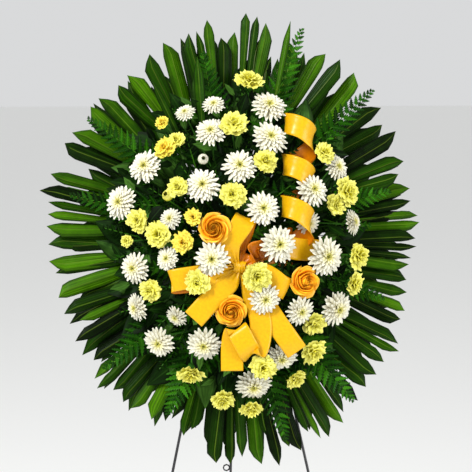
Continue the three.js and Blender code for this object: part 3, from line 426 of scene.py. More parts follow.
def grow_palm_fan(number, tips, layer):
    chance = random.Random(1000 + number)
    tip_depth = VIEW_ZERO + layer["tip"]
    ends = [seen_at(column, row, tip_depth) for column, row in tips]
    middle = sum(ends, Vector()) / len(ends)
    root = stem_root(middle, layer["base"])
    outward = (middle - root).normalized()
    base = foam_surface(root, middle) + outward * PALM_BASE_OUT
    turned = math.atan2(middle.z - base.z, middle.x - base.x)
    blades = []
    for end in ends:
        angle = math.atan2(end.z - base.z, end.x - base.x) - turned
        angle = (angle + math.pi) % (2 * math.pi) - math.pi
        blades.append((angle, math.hypot(end.x - base.x, end.z - base.z)))
    blades.sort()
    split_at = PALM_SPLIT * min(length for angle, length in blades)
    edge_share = 0.5 * PALM_WIDE / (1.35 * split_at)
    fan = Growth()
    for i, (angle, length) in enumerate(blades):
        gaps = []
        for j in (i - 1, i + 1):
            near = 0 <= j < len(blades)
            gaps.append(min(edge_share, abs(blades[j][0] - angle) / 2) if near else edge_share)
        lean = (1 if i % 2 == 0 else -1) * 0.35 * min(gaps)
        droop = chance.uniform(-0.006, 0.01)
        twist = chance.uniform(-0.5, 0.5)
        tone = chance.uniform(0.0, 0.9)
        shoulder = length - PALM_SHOULDER * chance.uniform(0.8, 1.3)
        splits = split_at * chance.uniform(0.95, 1.35)

        def blade_shape(u, v):
            reach = PALM_FOOT + (length - PALM_FOOT) * v ** 0.92
            half = gaps[0] if u < 0 else gaps[1]
            free = min(half * 0.86, math.atan(PALM_WIDE / 2 / reach))
            parted = max(0.0, min(1.0, (reach - splits) / 0.012))
            half += (free - half) * parted
            heading = angle
            if reach > shoulder:
                share = (reach - shoulder) / (length - shoulder)
                half *= 1 - share
                heading += lean * share
            direction = turned + heading + half * u
            ripple = abs(u) * 3 % 1
            fold = PALM_PLEAT * (1 - abs(u)) + 0.0007 * (1 - abs(2 * ripple - 1))
            fold *= min(1.0, 0.3 + v * 2)
            share = reach / length
            depth = base.y + (tip_depth - base.y) * share - fold
            depth += droop * share ** 2 + twist * half * reach * u * share ** 2
            across = base.x + math.cos(direction) * reach
            return Vector((across, depth, base.z + math.sin(direction) * reach)), PALM_THICK, FORWARD

        fan.add(palm_blade, blade_shape, tone)
    start = stem_start(middle, layer["base"])
    grip = base + outward * 0.036
    fan.stem([start, base, grip], [PALM_STALK, PALM_STALK, PALM_STALK_END], 0.6, 0)
    fan.piece(f"palm_leaf_{number}", [palm_green], "palm_leaf", [f"palm_fan_{number}"])


for number, tips in enumerate(palm_fans, 1):
    grow_palm_fan(number, tips, PALM_BACK if number % 2 == 1 else PALM_FRONT)


# A second row of the same blades, cut narrower and each on a stalk of its own that runs into the
# foam, closes the gaps behind the fans. Its outline is an oval a little inside the tips.
OUTLINE_MIDDLE = (231, 240)
OUTLINE_HALF = (189, 228)
BACKING_BLADES = 84
BACKING_PLEAT = 0.0045
BACKING_THICK = 0.0006
backing = Growth()
chance = random.Random(1500)
for k in range(BACKING_BLADES):
    angle = (k + chance.uniform(-0.35, 0.35)) * 2 * math.pi / BACKING_BLADES
    ends = []
    for share, depth in ((PALM_SPLIT, -0.03), (chance.uniform(0.8, 0.94), PALM_FRONT["tip"])):
        column = OUTLINE_MIDDLE[0] + OUTLINE_HALF[0] * math.cos(angle) * share
        row = OUTLINE_MIDDLE[1] - OUTLINE_HALF[1] * math.sin(angle) * share
        ends.append(seen_at(column, row, depth))
    foot, tip = ends
    tip += Vector((-math.sin(angle), 0, math.cos(angle))) * chance.uniform(-0.014, 0.014)
    along = (tip - foot).normalized()
    side = along.cross(FORWARD).normalized()
    length = (tip - foot).length
    wide = chance.uniform(0.018, 0.024)
    cut = chance.choice((-0.5, 0.5))
    sag = chance.uniform(-0.004, 0.008)

    def backing_shape(u, v):
        width = min(1.0, 0.5 + 1.4 * v) * min(1.0, (1 - v) / 0.14 + 0.02)
        lean = cut * max(0.0, (v - 0.86) / 0.14)
        place = foot + along * (length * v) + side * ((u * width + lean) * wide / 2)
        fold = BACKING_PLEAT * (1 - abs(u)) * width - sag * v * v
        return place + FORWARD * fold, BACKING_THICK, FORWARD

    backing.add(palm_blade, backing_shape, chance.uniform(0.0, 0.5))
    start = stem_start(tip, PALM_BACK["base"])
    backing.stem([start, foot, foot + along * 0.02], 0.0015, 0.3, 0, sides=5)
backing.piece("palm_backing", [palm_green], "palm_leaf")


# Three narrow strips torn from a palm leaf stand up in front, among the flowers, each with its
# foot drawn in to a thin stalk in the foam.
palm_strips = {
    "palm_strip_upper_left": {"tip": (153, 78, -0.1), "foot": (182, 140, -0.098), "wide": 0.013},
    "palm_strip_top_left": {"tip": (199, 55, -0.108), "foot": (203, 120, -0.106), "wide": 0.018},
    "palm_strip_top_right": {"tip": (294, 19, -0.096), "foot": (279, 90, -0.098), "wide": 0.012},
}
for number, (node, strip) in enumerate(palm_strips.items()):
    tip = seen_at(*strip["tip"])
    foot = seen_at(*strip["foot"])
    along = (tip - foot).normalized()
    side = along.cross(FORWARD).normalized()
    length = (tip - foot).length
    wide = strip["wide"]

    def strip_shape(u, v):
        width = min(1.0, 0.64 + 0.8 * v) * min(1.0, (1 - v) / 0.28 + 0.02)
        place = foot + along * (length * v) + side * (u * width * wide / 2)
        fold = 0.0016 * (1 - abs(u)) * width
        return place + FORWARD * fold, BACKING_THICK, FORWARD

    leaf = Growth()
    leaf.add(palm_blade, strip_shape, 0.35 + 0.15 * number)
    leaf.stem([stem_start(foot, -0.052), foot, foot + along * 0.012], 0.0014, 0.5, 0)
    leaf.piece(f"{node}_leaf", [palm_green], "palm_leaf", [node])


# Leatherleaf fern: flat glossy fronds with a thin arched stalk and pairs of side leaves, longest
# near the foot, each cut into small lobes that point forward.
fern_leaf = plain_strip(2, 24)
FERN_LOBES = 6
FERN_PAIRS = 18
FERN_RIB = 0.0016
FERN_RIB_END = 0.0005
FERN_RIB_STEPS = 8
FERN_LEAF_LEAST = 0.004
FERN_LEAF_BROAD = 0.0028
FERN_THICK = 0.0005
FERN_BARE = 0.016
fern_green = leaf_material("leatherleaf_fern", "051a00", "164600", "3e8010", "5a8c30", 0.3, 6.0)


def grow_frond(frond, foot, tip, width, pairs, chance, arch=0.01, tone=0.5, out=None):
    along = (tip - foot).normalized()
    facing = out or FORWARD
    facing = (facing - along * facing.dot(along)).normalized()
    side = along.cross(facing)
    length = (tip - foot).length

    def rib(share):
        rise = arch * math.sin(math.pi * min(1, max(0, share)))
        return foot + along * (length * share) + facing * rise

    stops = [k / FERN_RIB_STEPS for k in range(FERN_RIB_STEPS + 1)]
    thick = [FERN_RIB - (FERN_RIB - FERN_RIB_END) * share for share in stops]
    frond.stem([rib(share) for share in stops], thick, 0.75, 0, sides=5)
    for pair in range(pairs):
        share = 1 - (1 - (pair + 0.4) / pairs) ** 1.3
        reach = width / 2 * (1 - share) ** 0.8 * (0.85 if pair == 0 else 1) + FERN_LEAF_LEAST
        breadth = 0.19 * reach + FERN_LEAF_BROAD
        for hand in (-1, 1):
            start = rib(share + (0.012 if hand > 0 else 0))
            lift = chance.uniform(-0.15, 0.2)
            heading = (side * hand + along * (0.5 + 0.25 * share) + facing * lift).normalized()
            cross = heading.cross(facing).normalized()
            curl = chance.uniform(-0.1, 0.12)

            def side_leaf(u, v):
                lobe = abs(math.sin(math.pi * FERN_LOBES * v ** 0.9))
                wide = breadth * (1 - v) ** 0.7 * (0.4 + 0.6 * lobe) * min(1.0, 0.3 + 8 * v)
                ahead = heading * (reach * v + 0.3 * wide * abs(u)) + along * (0.07 * reach * v * v)
                place = start + ahead + cross * (u * wide)
                return place + facing * (curl * reach * v * v + 0.25 * wide * abs(u)), FERN_THICK, facing

            frond.add(fern_leaf, side_leaf, tone + chance.uniform(-0.3, 0.3))


fern_places = {
    "fern_upper_left": {"place": (90, 118), "base": -0.046, "tip": -0.088, "long": 0.215, "width": 0.1},
    "fern_top_left": {"place": (205, 52), "base": -0.046, "tip": -0.092, "long": 0.19, "width": 0.105},
    "fern_top_right": {"place": (305, 28), "base": -0.046, "tip": -0.088, "long": 0.225, "width": 0.095},
    "fern_right_upper": {"place": (376, 90), "base": -0.046, "tip": -0.088, "long": 0.215, "width": 0.1},
    "fern_right": {"place": (392, 192), "base": -0.052, "tip": -0.098, "long": 0.215, "width": 0.105},
    "fern_right_lower": {"place": (384, 300), "base": -0.046, "tip": -0.09, "long": 0.21, "width": 0.11},
    "fern_lower_right": {"place": (352, 402), "base": -0.052, "tip": -0.1, "long": 0.225, "width": 0.125},
    "fern_bottom": {"place": (284, 440), "base": -0.046, "tip": -0.09, "long": 0.2, "width": 0.105},
    "fern_lower_left": {"place": (166, 412), "base": -0.052, "tip": -0.1, "long": 0.215, "width": 0.125},
    "fern_left_lower": {"place": (104, 366), "base": -0.046, "tip": -0.09, "long": 0.225, "width": 0.12},
    "fern_left": {"place": (72, 194), "base": -0.046, "tip": -0.09, "long": 0.225, "width": 0.105},
}
for number, (node, fern) in enumerate(fern_places.items()):
    chance = random.Random(2000 + number)
    tip = seen_at(*fern["place"], fern["tip"])
    root = stem_root(tip, fern["base"])
    along = (tip - root).normalized()
    length = min(fern["long"], (foam_surface(root, tip) - tip).length - FERN_BARE)
    foot = tip - along * length
    frond = Growth()
    tone = chance.uniform(0.35, 0.65)
    grow_frond(frond, foot, tip, fern["width"], FERN_PAIRS, chance, tone=tone)
    frond.stem([stem_start(tip, fern["base"]), foot, foot + along * 0.01], 0.0014, 0.7, 0)
    frond.piece(f"{node}_frond", [fern_green], "fern_leaf", [node])


# The dome of flowers: how far a head stands in front of the easel, which way it looks, and the
# green stem that forks from the foam to each head of a spray.
DOME_CROWN = -0.188
DOME_RIM = -0.108
DOME_HALF = (0.215, 0.265)
FLOWER_STEMS = -0.058
MAIN_STEM = 0.0022
SIDE_STEM = 0.0014
DOME_LOOK = (0.27, 0.34)
UP = Vector((0, 0, 1))


def dome_depth(x, z):
    share = ((x - FOAM_MIDDLE.x) / DOME_HALF[0]) ** 2 + (z / DOME_HALF[1]) ** 2
    return DOME_CROWN + (DOME_RIM - DOME_CROWN) * min(1.0, share)


def head_setting(head, tall):
    guess = seen_at(*head["at"], DOME_CROWN)
    place = seen_at(*head["at"], dome_depth(guess.x, guess.z) + head.get("back", 0))
    look = head.get("look", ((place.x - FOAM_MIDDLE.x) / DOME_LOOK[0], place.z / DOME_LOOK[1]))
    direction = Vector((look[0], -1, look[1])).normalized()
    radius = head["wide"] / 2
    calyx = place - direction * (tall * radius * 0.6)
    turn = UP.rotation_difference(direction).to_matrix().to_4x4()
    spin = Matrix.Rotation(head["at"][0], 4, "Z")
    return Matrix.Translation(calyx) @ turn @ spin, calyx, direction, radius


def grow_stems(spray, settings, share, finish):
    """One stem out of the foam that forks into a side stem for each head."""
    centre = sum((calyx for matrix, calyx, direction, radius in settings), Vector()) / len(settings)
    root = stem_root(centre, FLOWER_STEMS)
    hub = root.lerp(centre, share)
    spray.stem([stem_start(centre, FLOWER_STEMS), hub], MAIN_STEM, 0.4, finish)
    for matrix, calyx, direction, radius in settings:
        neck = calyx - direction * min(0.016, radius)
        bend = hub.lerp(neck, 0.6) + (calyx - hub).normalized() * 0.002
        spray.stem([hub, bend, neck, calyx + direction * 0.002], SIDE_STEM, 0.5, finish)


# Chrysanthemums: many narrow spoon petals in rings that stand up more and more to a small
# pale green heart. One petal is modelled and copied; its finish is soft, matt and slightly
# translucent, white at the end and cream-green at the claw, where it is also darker as painted
# shade deep between the petals.
petal_strip = plain_strip(4, 5)
stem_green = leaf_material("flower_stem", "18400c", "2a5a18", "406f26", "406f26", 0.5, 3.0)
PETAL_SHADES = {"To Min": 0.76, "To Max": 1.0}
PETAL_VEINS = 14.0
PETAL_RELIEF = {"Strength": 0.25, "Distance": 0.0003}


def petal_material(name, claw, middle, end, roughness, glow):
    """A petal's finish: coloured along its length, a shade darker on some petals, finely veined
    along it, and letting a little light through."""
    material, tree, shader = new_material(name, end, roughness)
    tone, across, along = (
        add_node(tree, "ShaderNodeAttribute", {"attribute_name": key}).outputs["Fac"]
        for key in ("tone", "across", "along"))
    ramp = add_node(tree, "ShaderNodeValToRGB", {}, {"Fac": along})
    ramp.color_ramp.elements[0].color = linear(claw)
    ramp.color_ramp.elements[1].color = linear(end)
    ramp.color_ramp.elements.new(0.45).color = linear(middle)
    dimmer = add_node(tree, "ShaderNodeMapRange", PETAL_SHADES, {"Value": tone})
    shaded = add_node(tree, "ShaderNodeVectorMath", {"operation": "SCALE"},
                      {"Vector": ramp.outputs["Color"], "Scale": dimmer.outputs["Result"]})
    tree.links.new(shaded.outputs["Vector"], shader.inputs["Base Color"])
    shader.inputs["Subsurface Weight"].default_value = glow
    shader.inputs["Subsurface Radius"].default_value = (0.004, 0.003, 0.002)
    shader.inputs["Subsurface Scale"].default_value = 0.4
    add_veins(tree, shader, across, PETAL_VEINS, PETAL_RELIEF)
    return material


# The darker claw colour is partly the petal's own cream-green and partly painted shade deep between the
# petals.
mum_white = petal_material("white_chrysanthemum_petal", "d6d084", "e6e0c2", "ecead8", 0.6, 0.03)
mum_cream = petal_material("cream_chrysanthemum_petal", "d0c866", "e4dc98", "ece8ca", 0.6, 0.03)
mum_heart = petal_material("chrysanthemum_heart", "a8ac38", "ccca50", "e6e07c", 0.6, 0.05)
mum_eye = petal_material("chrysanthemum_eye", "3a4016", "4a5018", "6a7020", 0.7, 0.0)
MUM_TALL = 0.66
MUM_RINGS = (
    {"count": 19, "tip": 1.1, "rise": 0.2, "lift": 0.03, "wide": 0.26},
    {"count": 18, "tip": 0.97, "rise": 0.36, "lift": 0.06, "wide": 0.25},
    {"count": 16, "tip": 0.82, "rise": 0.48, "lift": 0.08, "wide": 0.23},
    {"count": 14, "tip": 0.66, "rise": 0.57, "lift": 0.1, "wide": 0.2},
    {"count": 12, "tip": 0.5, "rise": 0.62, "lift": 0.1, "wide": 0.17},
    {"count": 9, "tip": 0.36, "rise": 0.62, "lift": 0.08, "wide": 0.14},
)
CREAM_FROM = 4
FLORETS = 26
DARK_FLORETS = 5
BRACTS = 10
GOLDEN_ANGLE = 2.39996
PETAL_THICK = 0.0005
BRACT_THICK = 0.0006
FLORET_THICK = 0.0011
WHITE, HEART, EYE, GREEN, CREAM = range(5)


def ring_ways(angle):
    """The way out from the middle of a head at an angle, and the way round it there."""
    return Vector((math.cos(angle), math.sin(angle), 0)), Vector((-math.sin(angle), math.cos(angle), 0))


def grow_mum(spray, matrix, radius, chance):
    turned = matrix.to_3x3()
    for order, ring in enumerate(MUM_RINGS):
        turn = chance.uniform(0, 1)
        for k in range(ring["count"]):
            angle = (k + turn + chance.uniform(-0.2, 0.2)) * 2 * math.pi / ring["count"]
            reach = ring["tip"] * radius * chance.uniform(0.88, 1.03)
            rise = ring["rise"] * radius + chance.uniform(-0.04, 0.05) * radius
            lift = ring["lift"] * radius
            half = ring["wide"] * radius / 2 * chance.uniform(0.85, 1.15)
            out, side = ring_ways(angle)
            sway = chance.uniform(-0.05, 0.05) * radius
            claw = (0.12 + 0.06 * order) * radius

            def petal_shape(u, v):
                ahead = 0.05 * radius + (reach - 0.05 * radius) * v
                climb = claw + (rise - claw) * v + lift * math.sin(math.pi * v) * (1 - 0.6 * v)
                width = half * (0.45 + 0.7 * v) * min(1.0, ((1.03 - v) / 0.34) ** 0.55)
                cup = u * u * width * (0.6 if v < 0.8 else 0.3)
                place = out * ahead + side * (u * width + sway * v * v) + UP * (climb + cup)
                return matrix @ place, PETAL_THICK, turned @ UP

            finish = CREAM if order >= CREAM_FROM else WHITE
            spray.add(petal_strip, petal_shape, chance.uniform(0.2, 1.0), finish)
    for k in range(FLORETS):
        spread = 0.22 * radius * math.sqrt((k + 0.5) / FLORETS)
        out, side = ring_ways(k * GOLDEN_ANGLE)
        dark = k < DARK_FLORETS
        high = (0.56 if dark else 0.66) * radius

        def floret_shape(u, v):
            width = 0.03 * radius * min(1.0, (1.05 - v) / 0.5)
            lean = spread * (0.6 + 0.5 * v) - 0.03 * radius * v * v
            place = out * lean + side * (u * width) + UP * (0.35 * radius + (high - 0.35 * radius) * v)
            return matrix @ place, FLORET_THICK, turned @ out

        spray.add(petal_strip, floret_shape, chance.uniform(0.3, 1.0), EYE if dark else HEART)
    for k in range(BRACTS):
        out, side = ring_ways((k + 0.5) * 2 * math.pi / BRACTS)

        def bract_shape(u, v):
            width = 0.09 * radius * min(1.0, (1.05 - v) / 0.5)
            climb = UP * ((0.14 * v * v - 0.01) * radius)
            place = out * (0.02 + 0.3 * v) * radius + side * (u * width) + climb
            return matrix @ place, BRACT_THICK, turned @ UP

        spray.add(petal_strip, bract_shape, 0.4, GREEN)


BUD_TALL = 2.2
BUD_RINGS = (
    {"count": 8, "spread": 1.0, "high": 1.7, "green": False},
    {"count": 6, "spread": 0.7, "high": 2.0, "green": False},
    {"count": 6, "spread": 1.05, "high": 0.9, "green": True},
)


def grow_bud(spray, matrix, radius, chance, green):
    """A shut bud: a short cup of overlapping petals in a green cup."""
    turned = matrix.to_3x3()
    for order, ring in enumerate(BUD_RINGS):
        for k in range(ring["count"]):
            out, side = ring_ways((k + order * 0.4) * 2 * math.pi / ring["count"])

            def bud_shape(u, v):
                bulge = math.sin(math.pi * min(1.0, 0.15 + 0.72 * v)) ** 0.7
                width = radius * 3.2 / ring["count"] * bulge
                climb = UP * (ring["high"] * radius * v)
                place = out * (ring["spread"] * radius * bulge) + side * (u * width) + climb
                return matrix @ place, PETAL_THICK, turned @ out

            spray.add(petal_strip, bud_shape, chance.uniform(0.3, 1.0), green if ring["green"] else 0)


def grow_spray(node, share, heads, chance, tall, grow_head, finishes, green, slot):
    """One spray: its heads and buds, and the forked stem that carries them."""
    spray = Growth()
    settings = []
    for head in heads:
        setting = head_setting(head, BUD_TALL if head.get("bud") else tall)
        settings.append(setting)
        matrix, calyx, direction, radius = setting
        if head.get("bud"):
            grow_bud(spray, matrix, radius, chance, green)
        else:
            grow_head(spray, matrix, radius, chance, head)
    grow_stems(spray, settings, share, green)
    spray.piece(f"{node}_heads", finishes, slot, [node])


mum_sprays = {
    "mums_upper_left": (0.55, [
        {"at": (186, 111), "wide": 0.033, "back": 0.008},
        {"at": (215, 103), "wide": 0.038, "back": 0.014},
        {"at": (211.5, 130), "wide": 0.051},
        {"at": (203, 184), "wide": 0.058},
        {"at": (204, 158), "wide": 0.017, "bud": True, "look": (0, 0.1)},
    ]),
    "mums_left": (0.55, [
        {"at": (145, 165), "wide": 0.057},
        {"at": (119.7, 201), "wide": 0.057},
        {"at": (170, 218), "wide": 0.038, "look": (-0.5, 0.3), "back": 0.01},
    ]),
    "mums_upper_right": (0.55, [
        {"at": (271.4, 104), "wide": 0.06},
        {"at": (272, 136), "wide": 0.06},
        {"at": (240.5, 165), "wide": 0.056},
        {"at": (263.8, 208.5), "wide": 0.056},
    ]),
    "mums_right": (0.55, [
        {"at": (340, 167), "wide": 0.046, "back": 0.006},
        {"at": (315, 189.6), "wide": 0.057},
        {"at": (355.7, 222.8), "wide": 0.042, "look": (1.3, 0.2)},
        {"at": (309.8, 224), "wide": 0.04, "back": 0.026, "look": (0.3, -0.3)},
        {"at": (327.8, 257.8), "wide": 0.066},
    ]),
    "mums_lower_left": (0.55, [
        {"at": (133, 267), "wide": 0.052},
        {"at": (166.3, 257.8), "wide": 0.04, "look": (-0.6, 0.1)},
        {"at": (211.5, 259), "wide": 0.057},
        {"at": (134.7, 306.7), "wide": 0.046, "look": (-1.3, -0.3)},
        {"at": (174.6, 316.5), "wide": 0.038, "look": (-0.8, -0.8), "back": 0.012},
    ]),
    "mums_bottom": (0.68, [
        {"at": (157.3, 342), "wide": 0.053},
        {"at": (202.4, 345), "wide": 0.058},
        {"at": (251.8, 387), "wide": 0.06, "look": (0.05, -0.8), "back": -0.01},
    ]),
    "mums_lower_right": (0.55, [
        {"at": (279.6, 245), "wide": 0.06},
        {"at": (264.6, 300), "wide": 0.052},
        {"at": (300.7, 312.8), "wide": 0.05},
        {"at": (338.3, 311), "wide": 0.06},
        {"at": (280.4, 359.4), "wide": 0.055, "look": (0.1, -0.8)},
    ]),
}
mum_finishes = [mum_white, mum_heart, mum_eye, stem_green, mum_cream]


def mum_head(spray, matrix, radius, chance, head):
    grow_mum(spray, matrix, radius, chance)


for number, (node, (share, heads)) in enumerate(mum_sprays.items()):
    chance = random.Random(3000 + number)
    grow_spray(node, share, heads, chance, MUM_TALL, mum_head, mum_finishes, GREEN, "white_petals")


# Miniature carnations: a tight green calyx tube, and crowded fan-shaped petals with frilled,
# toothed edges, lemon yellow inside and paler at the frill.
carnation_lemon = petal_material("lemon_carnation_petal", "b4ac00", "dad204", "f2ee76", 0.6, 0.05)
carnation_gold = petal_material("golden_carnation_petal", "e8a010", "f0c820", "f4e658", 0.6, 0.06)
frill_strip = plain_strip(12, 5)
CARNATION_TALL = 1.4
CARNATION_FULL = 1.13
CARNATION_RINGS = (
    {"count": 6, "tip": 1.06, "rise": 0.9, "wide": 0.6},
    {"count": 6, "tip": 0.86, "rise": 1.12, "wide": 0.54},
    {"count": 5, "tip": 0.6, "rise": 1.28, "wide": 0.48},
    {"count": 4, "tip": 0.34, "rise": 1.4, "wide": 0.4},
    {"count": 2, "tip": 0.12, "rise": 1.42, "wide": 0.3},
)
CALYX_LOBES = 6
CALYX_THICK = 0.0007
LEMON, GOLD, CALYX = range(3)


def grow_carnation(spray, matrix, radius, chance, finish):
    turned = matrix.to_3x3()
    for ring in CARNATION_RINGS:
        turn = chance.uniform(0, 1)
        for k in range(ring["count"]):
            angle = (k + turn + chance.uniform(-0.22, 0.22)) * 2 * math.pi / ring["count"]
            out, side = ring_ways(angle)
            reach = ring["tip"] * radius * chance.uniform(0.8, 1.08)
            rise = ring["rise"] * radius * chance.uniform(0.86, 1.06)
            half = ring["wide"] * radius * chance.uniform(0.85, 1.15)
            phase = chance.uniform(0, 6.28)
            waves = chance.uniform(5.0, 9.0)

            def frill_shape(u, v):
                tooth = 1 + (0.06 * math.cos(u * 19 + phase) if v > 0.9 else 0)
                ahead = 0.1 * radius + (reach - 0.1 * radius) * (v ** 1.6) * tooth
                bend = 0.55 * radius + (rise - 0.55 * radius) * (1 - (1 - v) ** 2)
                frill = 0.13 * radius * math.sin(u * waves + phase) * v ** 2
                width = half * (0.25 + 0.75 * v ** 0.8)
                ahead += (0.07 * math.sin(u * 4.5 + 2 * phase) - 0.2 * u * u) * radius * v
                place = out * (ahead + 0.4 * frill) + side * (u * width) + UP * (bend + frill)
                return matrix @ place, PETAL_THICK, turned @ UP

            spray.add(frill_strip, frill_shape, chance.uniform(0.2, 1.0), finish)
    for k in range(CALYX_LOBES):
        out, side = ring_ways(k * 2 * math.pi / CALYX_LOBES)

        def calyx_shape(u, v):
            width = radius * 0.19 * min(1.0, (1.04 - v) / 0.3)
            spread = radius * (0.1 + 0.26 * min(1.0, v * 2.2))
            place = out * (spread - 0.04 * radius * u * u) + side * (u * width) + UP * (0.82 * radius * v)
            return matrix @ place, CALYX_THICK, turned @ out

        spray.add(petal_strip, calyx_shape, 0.5, CALYX)


carnation_sprays = {
    "carnations_upper_left": (0.5, [
        {"at": (163.3, 122), "wide": 0.022, "gold": True},
        {"at": (166, 148), "wide": 0.034, "gold": True},
        {"at": (177, 140), "wide": 0.028, "back": 0.012},
        {"at": (178.4, 186.6), "wide": 0.032},
        {"at": (167, 194), "wide": 0.018, "bud": True},
    ]),
    "carnations_left": (0.5, [
        {"at": (139, 219.7), "wide": 0.036},
        {"at": (159, 234), "wide": 0.04},
        {"at": (183, 242), "wide": 0.032, "gold": True},
        {"at": (127, 239.8), "wide": 0.02},
        {"at": (193.4, 216.7), "wide": 0.025, "gold": True},
    ]),
    "carnations_top": (0.5, [
        {"at": (235, 124), "wide": 0.04},
        {"at": (251, 81), "wide": 0.044, "look": (0.05, 1.5)},
        {"at": (266, 161), "wide": 0.036},
        {"at": (232.5, 195), "wide": 0.038},
    ]),
    "carnations_right": (0.5, [
        {"at": (326.3, 153.5), "wide": 0.033},
        {"at": (348, 192.7), "wide": 0.042, "look": (0.9, 0.2)},
        {"at": (336, 206), "wide": 0.034, "back": 0.014},
        {"at": (358, 257), "wide": 0.04, "look": (1, -0.1)},
        {"at": (354, 285), "wide": 0.036, "look": (1.1, -0.3)},
    ]),
    "carnations_lower_left": (0.5, [
        {"at": (150.5, 289.4), "wide": 0.036},
        {"at": (197, 282), "wide": 0.038},
        {"at": (189, 371.5), "wide": 0.04, "look": (-0.2, -1.7)},
        {"at": (220.5, 398.5), "wide": 0.036, "look": (0, -0.9)},
    ]),
    "carnations_lower_right": (0.5, [
        {"at": (255.6, 276), "wide": 0.044},
        {"at": (312.8, 324), "wide": 0.038, "back": 0.014, "look": (0.4, -0.7)},
        {"at": (312, 352), "wide": 0.04},
        {"at": (261, 368), "wide": 0.038, "look": (0.1, -0.2), "back": -0.03},
        {"at": (294, 379), "wide": 0.034, "look": (0.8, -0.9)},
        {"at": (248.8, 407.6), "wide": 0.036, "look": (0, -1.4)},
    ]),
}
carnation_finishes = [carnation_lemon, carnation_gold, stem_green]


def carnation_head(spray, matrix, radius, chance, head):
    grow_carnation(spray, matrix, CARNATION_FULL * radius, chance, GOLD if head.get("gold") else LEMON)


for number, (node, (share, heads)) in enumerate(carnation_sprays.items()):
    chance = random.Random(4000 + number)
    grow_spray(node, share, heads, chance, CARNATION_TALL, carnation_head, carnation_finishes, CALYX,
               "lemon_petals")


# Roses: broad cupped petals that wrap round one another, rolled back at their rims, with a
# tight spiral heart. Deep orange in the folds and yellow on the rims, smooth and satiny.
rose_gold = petal_material("golden_rose_petal", "f27200", "fca604", "ffc62c", 0.45, 0.12)
rose_petal = plain_strip(10, 8)
ROSE_TALL = 1.5
ROSE_RINGS = (
    {"count": 5, "spread": 0.76, "high": 0.86, "span": 1.7, "open": 0.95},
    {"count": 5, "spread": 0.7, "high": 1.06, "span": 1.75, "open": 0.6},
    {"count": 4, "spread": 0.6, "high": 1.22, "span": 2.1, "open": 0.2},
    {"count": 4, "spread": 0.5, "high": 1.33, "span": 2.2, "open": -0.35},
    {"count": 3, "spread": 0.4, "high": 1.4, "span": 2.7, "open": -0.7},
    {"count": 3, "spread": 0.27, "high": 1.42, "span": 2.7, "open": -0.7},
)
rose_heart = plain_strip(60, 5)
ROSE_FOLD = 0.35
HEART_TURNS = 2.2
SEPALS = 5


def ring_place(angle, out, climb):
    """A place in a head, by its angle round the middle, its way out and its height."""
    return Vector((math.cos(angle) * out, math.sin(angle) * out, climb))


def grow_rose(spray, matrix, radius, chance):
    turned = matrix.to_3x3()
    for ring in ROSE_RINGS:
        turn = chance.uniform(0, 6.28)
        for k in range(ring["count"]):
            middle = turn + k * 2 * math.pi / ring["count"] + chance.uniform(-0.12, 0.12)
            spread = 0.9 * ring["spread"] * radius * chance.uniform(0.92, 1.05)
            high = ring["high"] * radius * chance.uniform(0.95, 1.03)
            opening = ring["open"] * ROSE_FOLD

            def petal_shape(u, v):
                angle = middle + u * ring["span"] / 2
                cup = math.sin(math.pi * 0.5 * min(1.0, v * 1.4))
                upper = max(0.0, v - 0.5) / 0.5
                lip = max(0.0, v - 0.86) / 0.14
                out = spread * (0.25 + 0.75 * cup) * (1.0 - 0.17 * u)
                peak = (1 - abs(u)) ** 1.4
                out += spread * opening * upper ** 1.5 * (0.7 + 0.5 * peak) + 0.05 * radius * lip
                point = 1 - 0.3 * abs(u) ** 2.2 + 0.06 * peak
                climb = 0.18 * radius + (high - 0.18 * radius) * v * point - 0.04 * radius * lip
                climb -= max(0.0, opening) * 0.3 * radius * upper ** 3
                return matrix @ ring_place(angle, out, climb), BRACT_THICK, turned @ ring_place(angle, 1, 0)

            spray.add(rose_petal, petal_shape, chance.uniform(0.75, 1.0))

    def heart_shape(u, v):
        turns = HEART_TURNS * (u + 1) / 2
        angle = turns * 2 * math.pi
        out = radius * (0.02 + 0.07 * turns) * (1.15 - 0.3 * v)
        climb = radius * (0.5 + (0.97 - 0.03 * turns) * v)
        return matrix @ ring_place(angle, out, climb), PETAL_THICK, turned @ ring_place(angle, 1, 0)

    spray.add(rose_heart, heart_shape, 0.8)
    for k in range(SEPALS):
        out, side = ring_ways(k * 2 * math.pi / SEPALS)

        def sepal_shape(u, v):
            width = 0.16 * radius * (1 - v) ** 0.7
            climb = UP * (radius * (0.1 + 0.25 * v))
            place = out * radius * (0.12 + 0.7 * v) + side * (u * width) + climb
            return matrix @ place, BRACT_THICK, turned @ UP

        spray.add(petal_strip, sepal_shape, 0.5, finish=1)


roses = {
    "rose_upper": {"at": (214, 228), "wide": 0.055, "look": (-0.1, 0)},
    "rose_right": {"at": (306, 283.4), "wide": 0.055, "look": (0.3, -0.1)},
    "rose_lower": {"at": (230, 312), "wide": 0.055, "look": (0, -0.15)},
}
for number, (node, head) in enumerate(roses.items()):
    chance = random.Random(5000 + number)
    bloom = Growth()
    matrix, calyx, direction, radius = head_setting(head, ROSE_TALL)
    grow_rose(bloom, matrix, radius, chance)
    hub = stem_root(calyx, FLOWER_STEMS).lerp(calyx, 0.55)
    path = [stem_start(calyx, FLOWER_STEMS), hub, calyx - direction * 0.016, calyx + direction * radius * 0.3]
    bloom.stem(path, MAIN_STEM, 0.4, 1)
    bloom.piece(f"{node}_bloom", [rose_gold, stem_green], "gold_petals", [node])


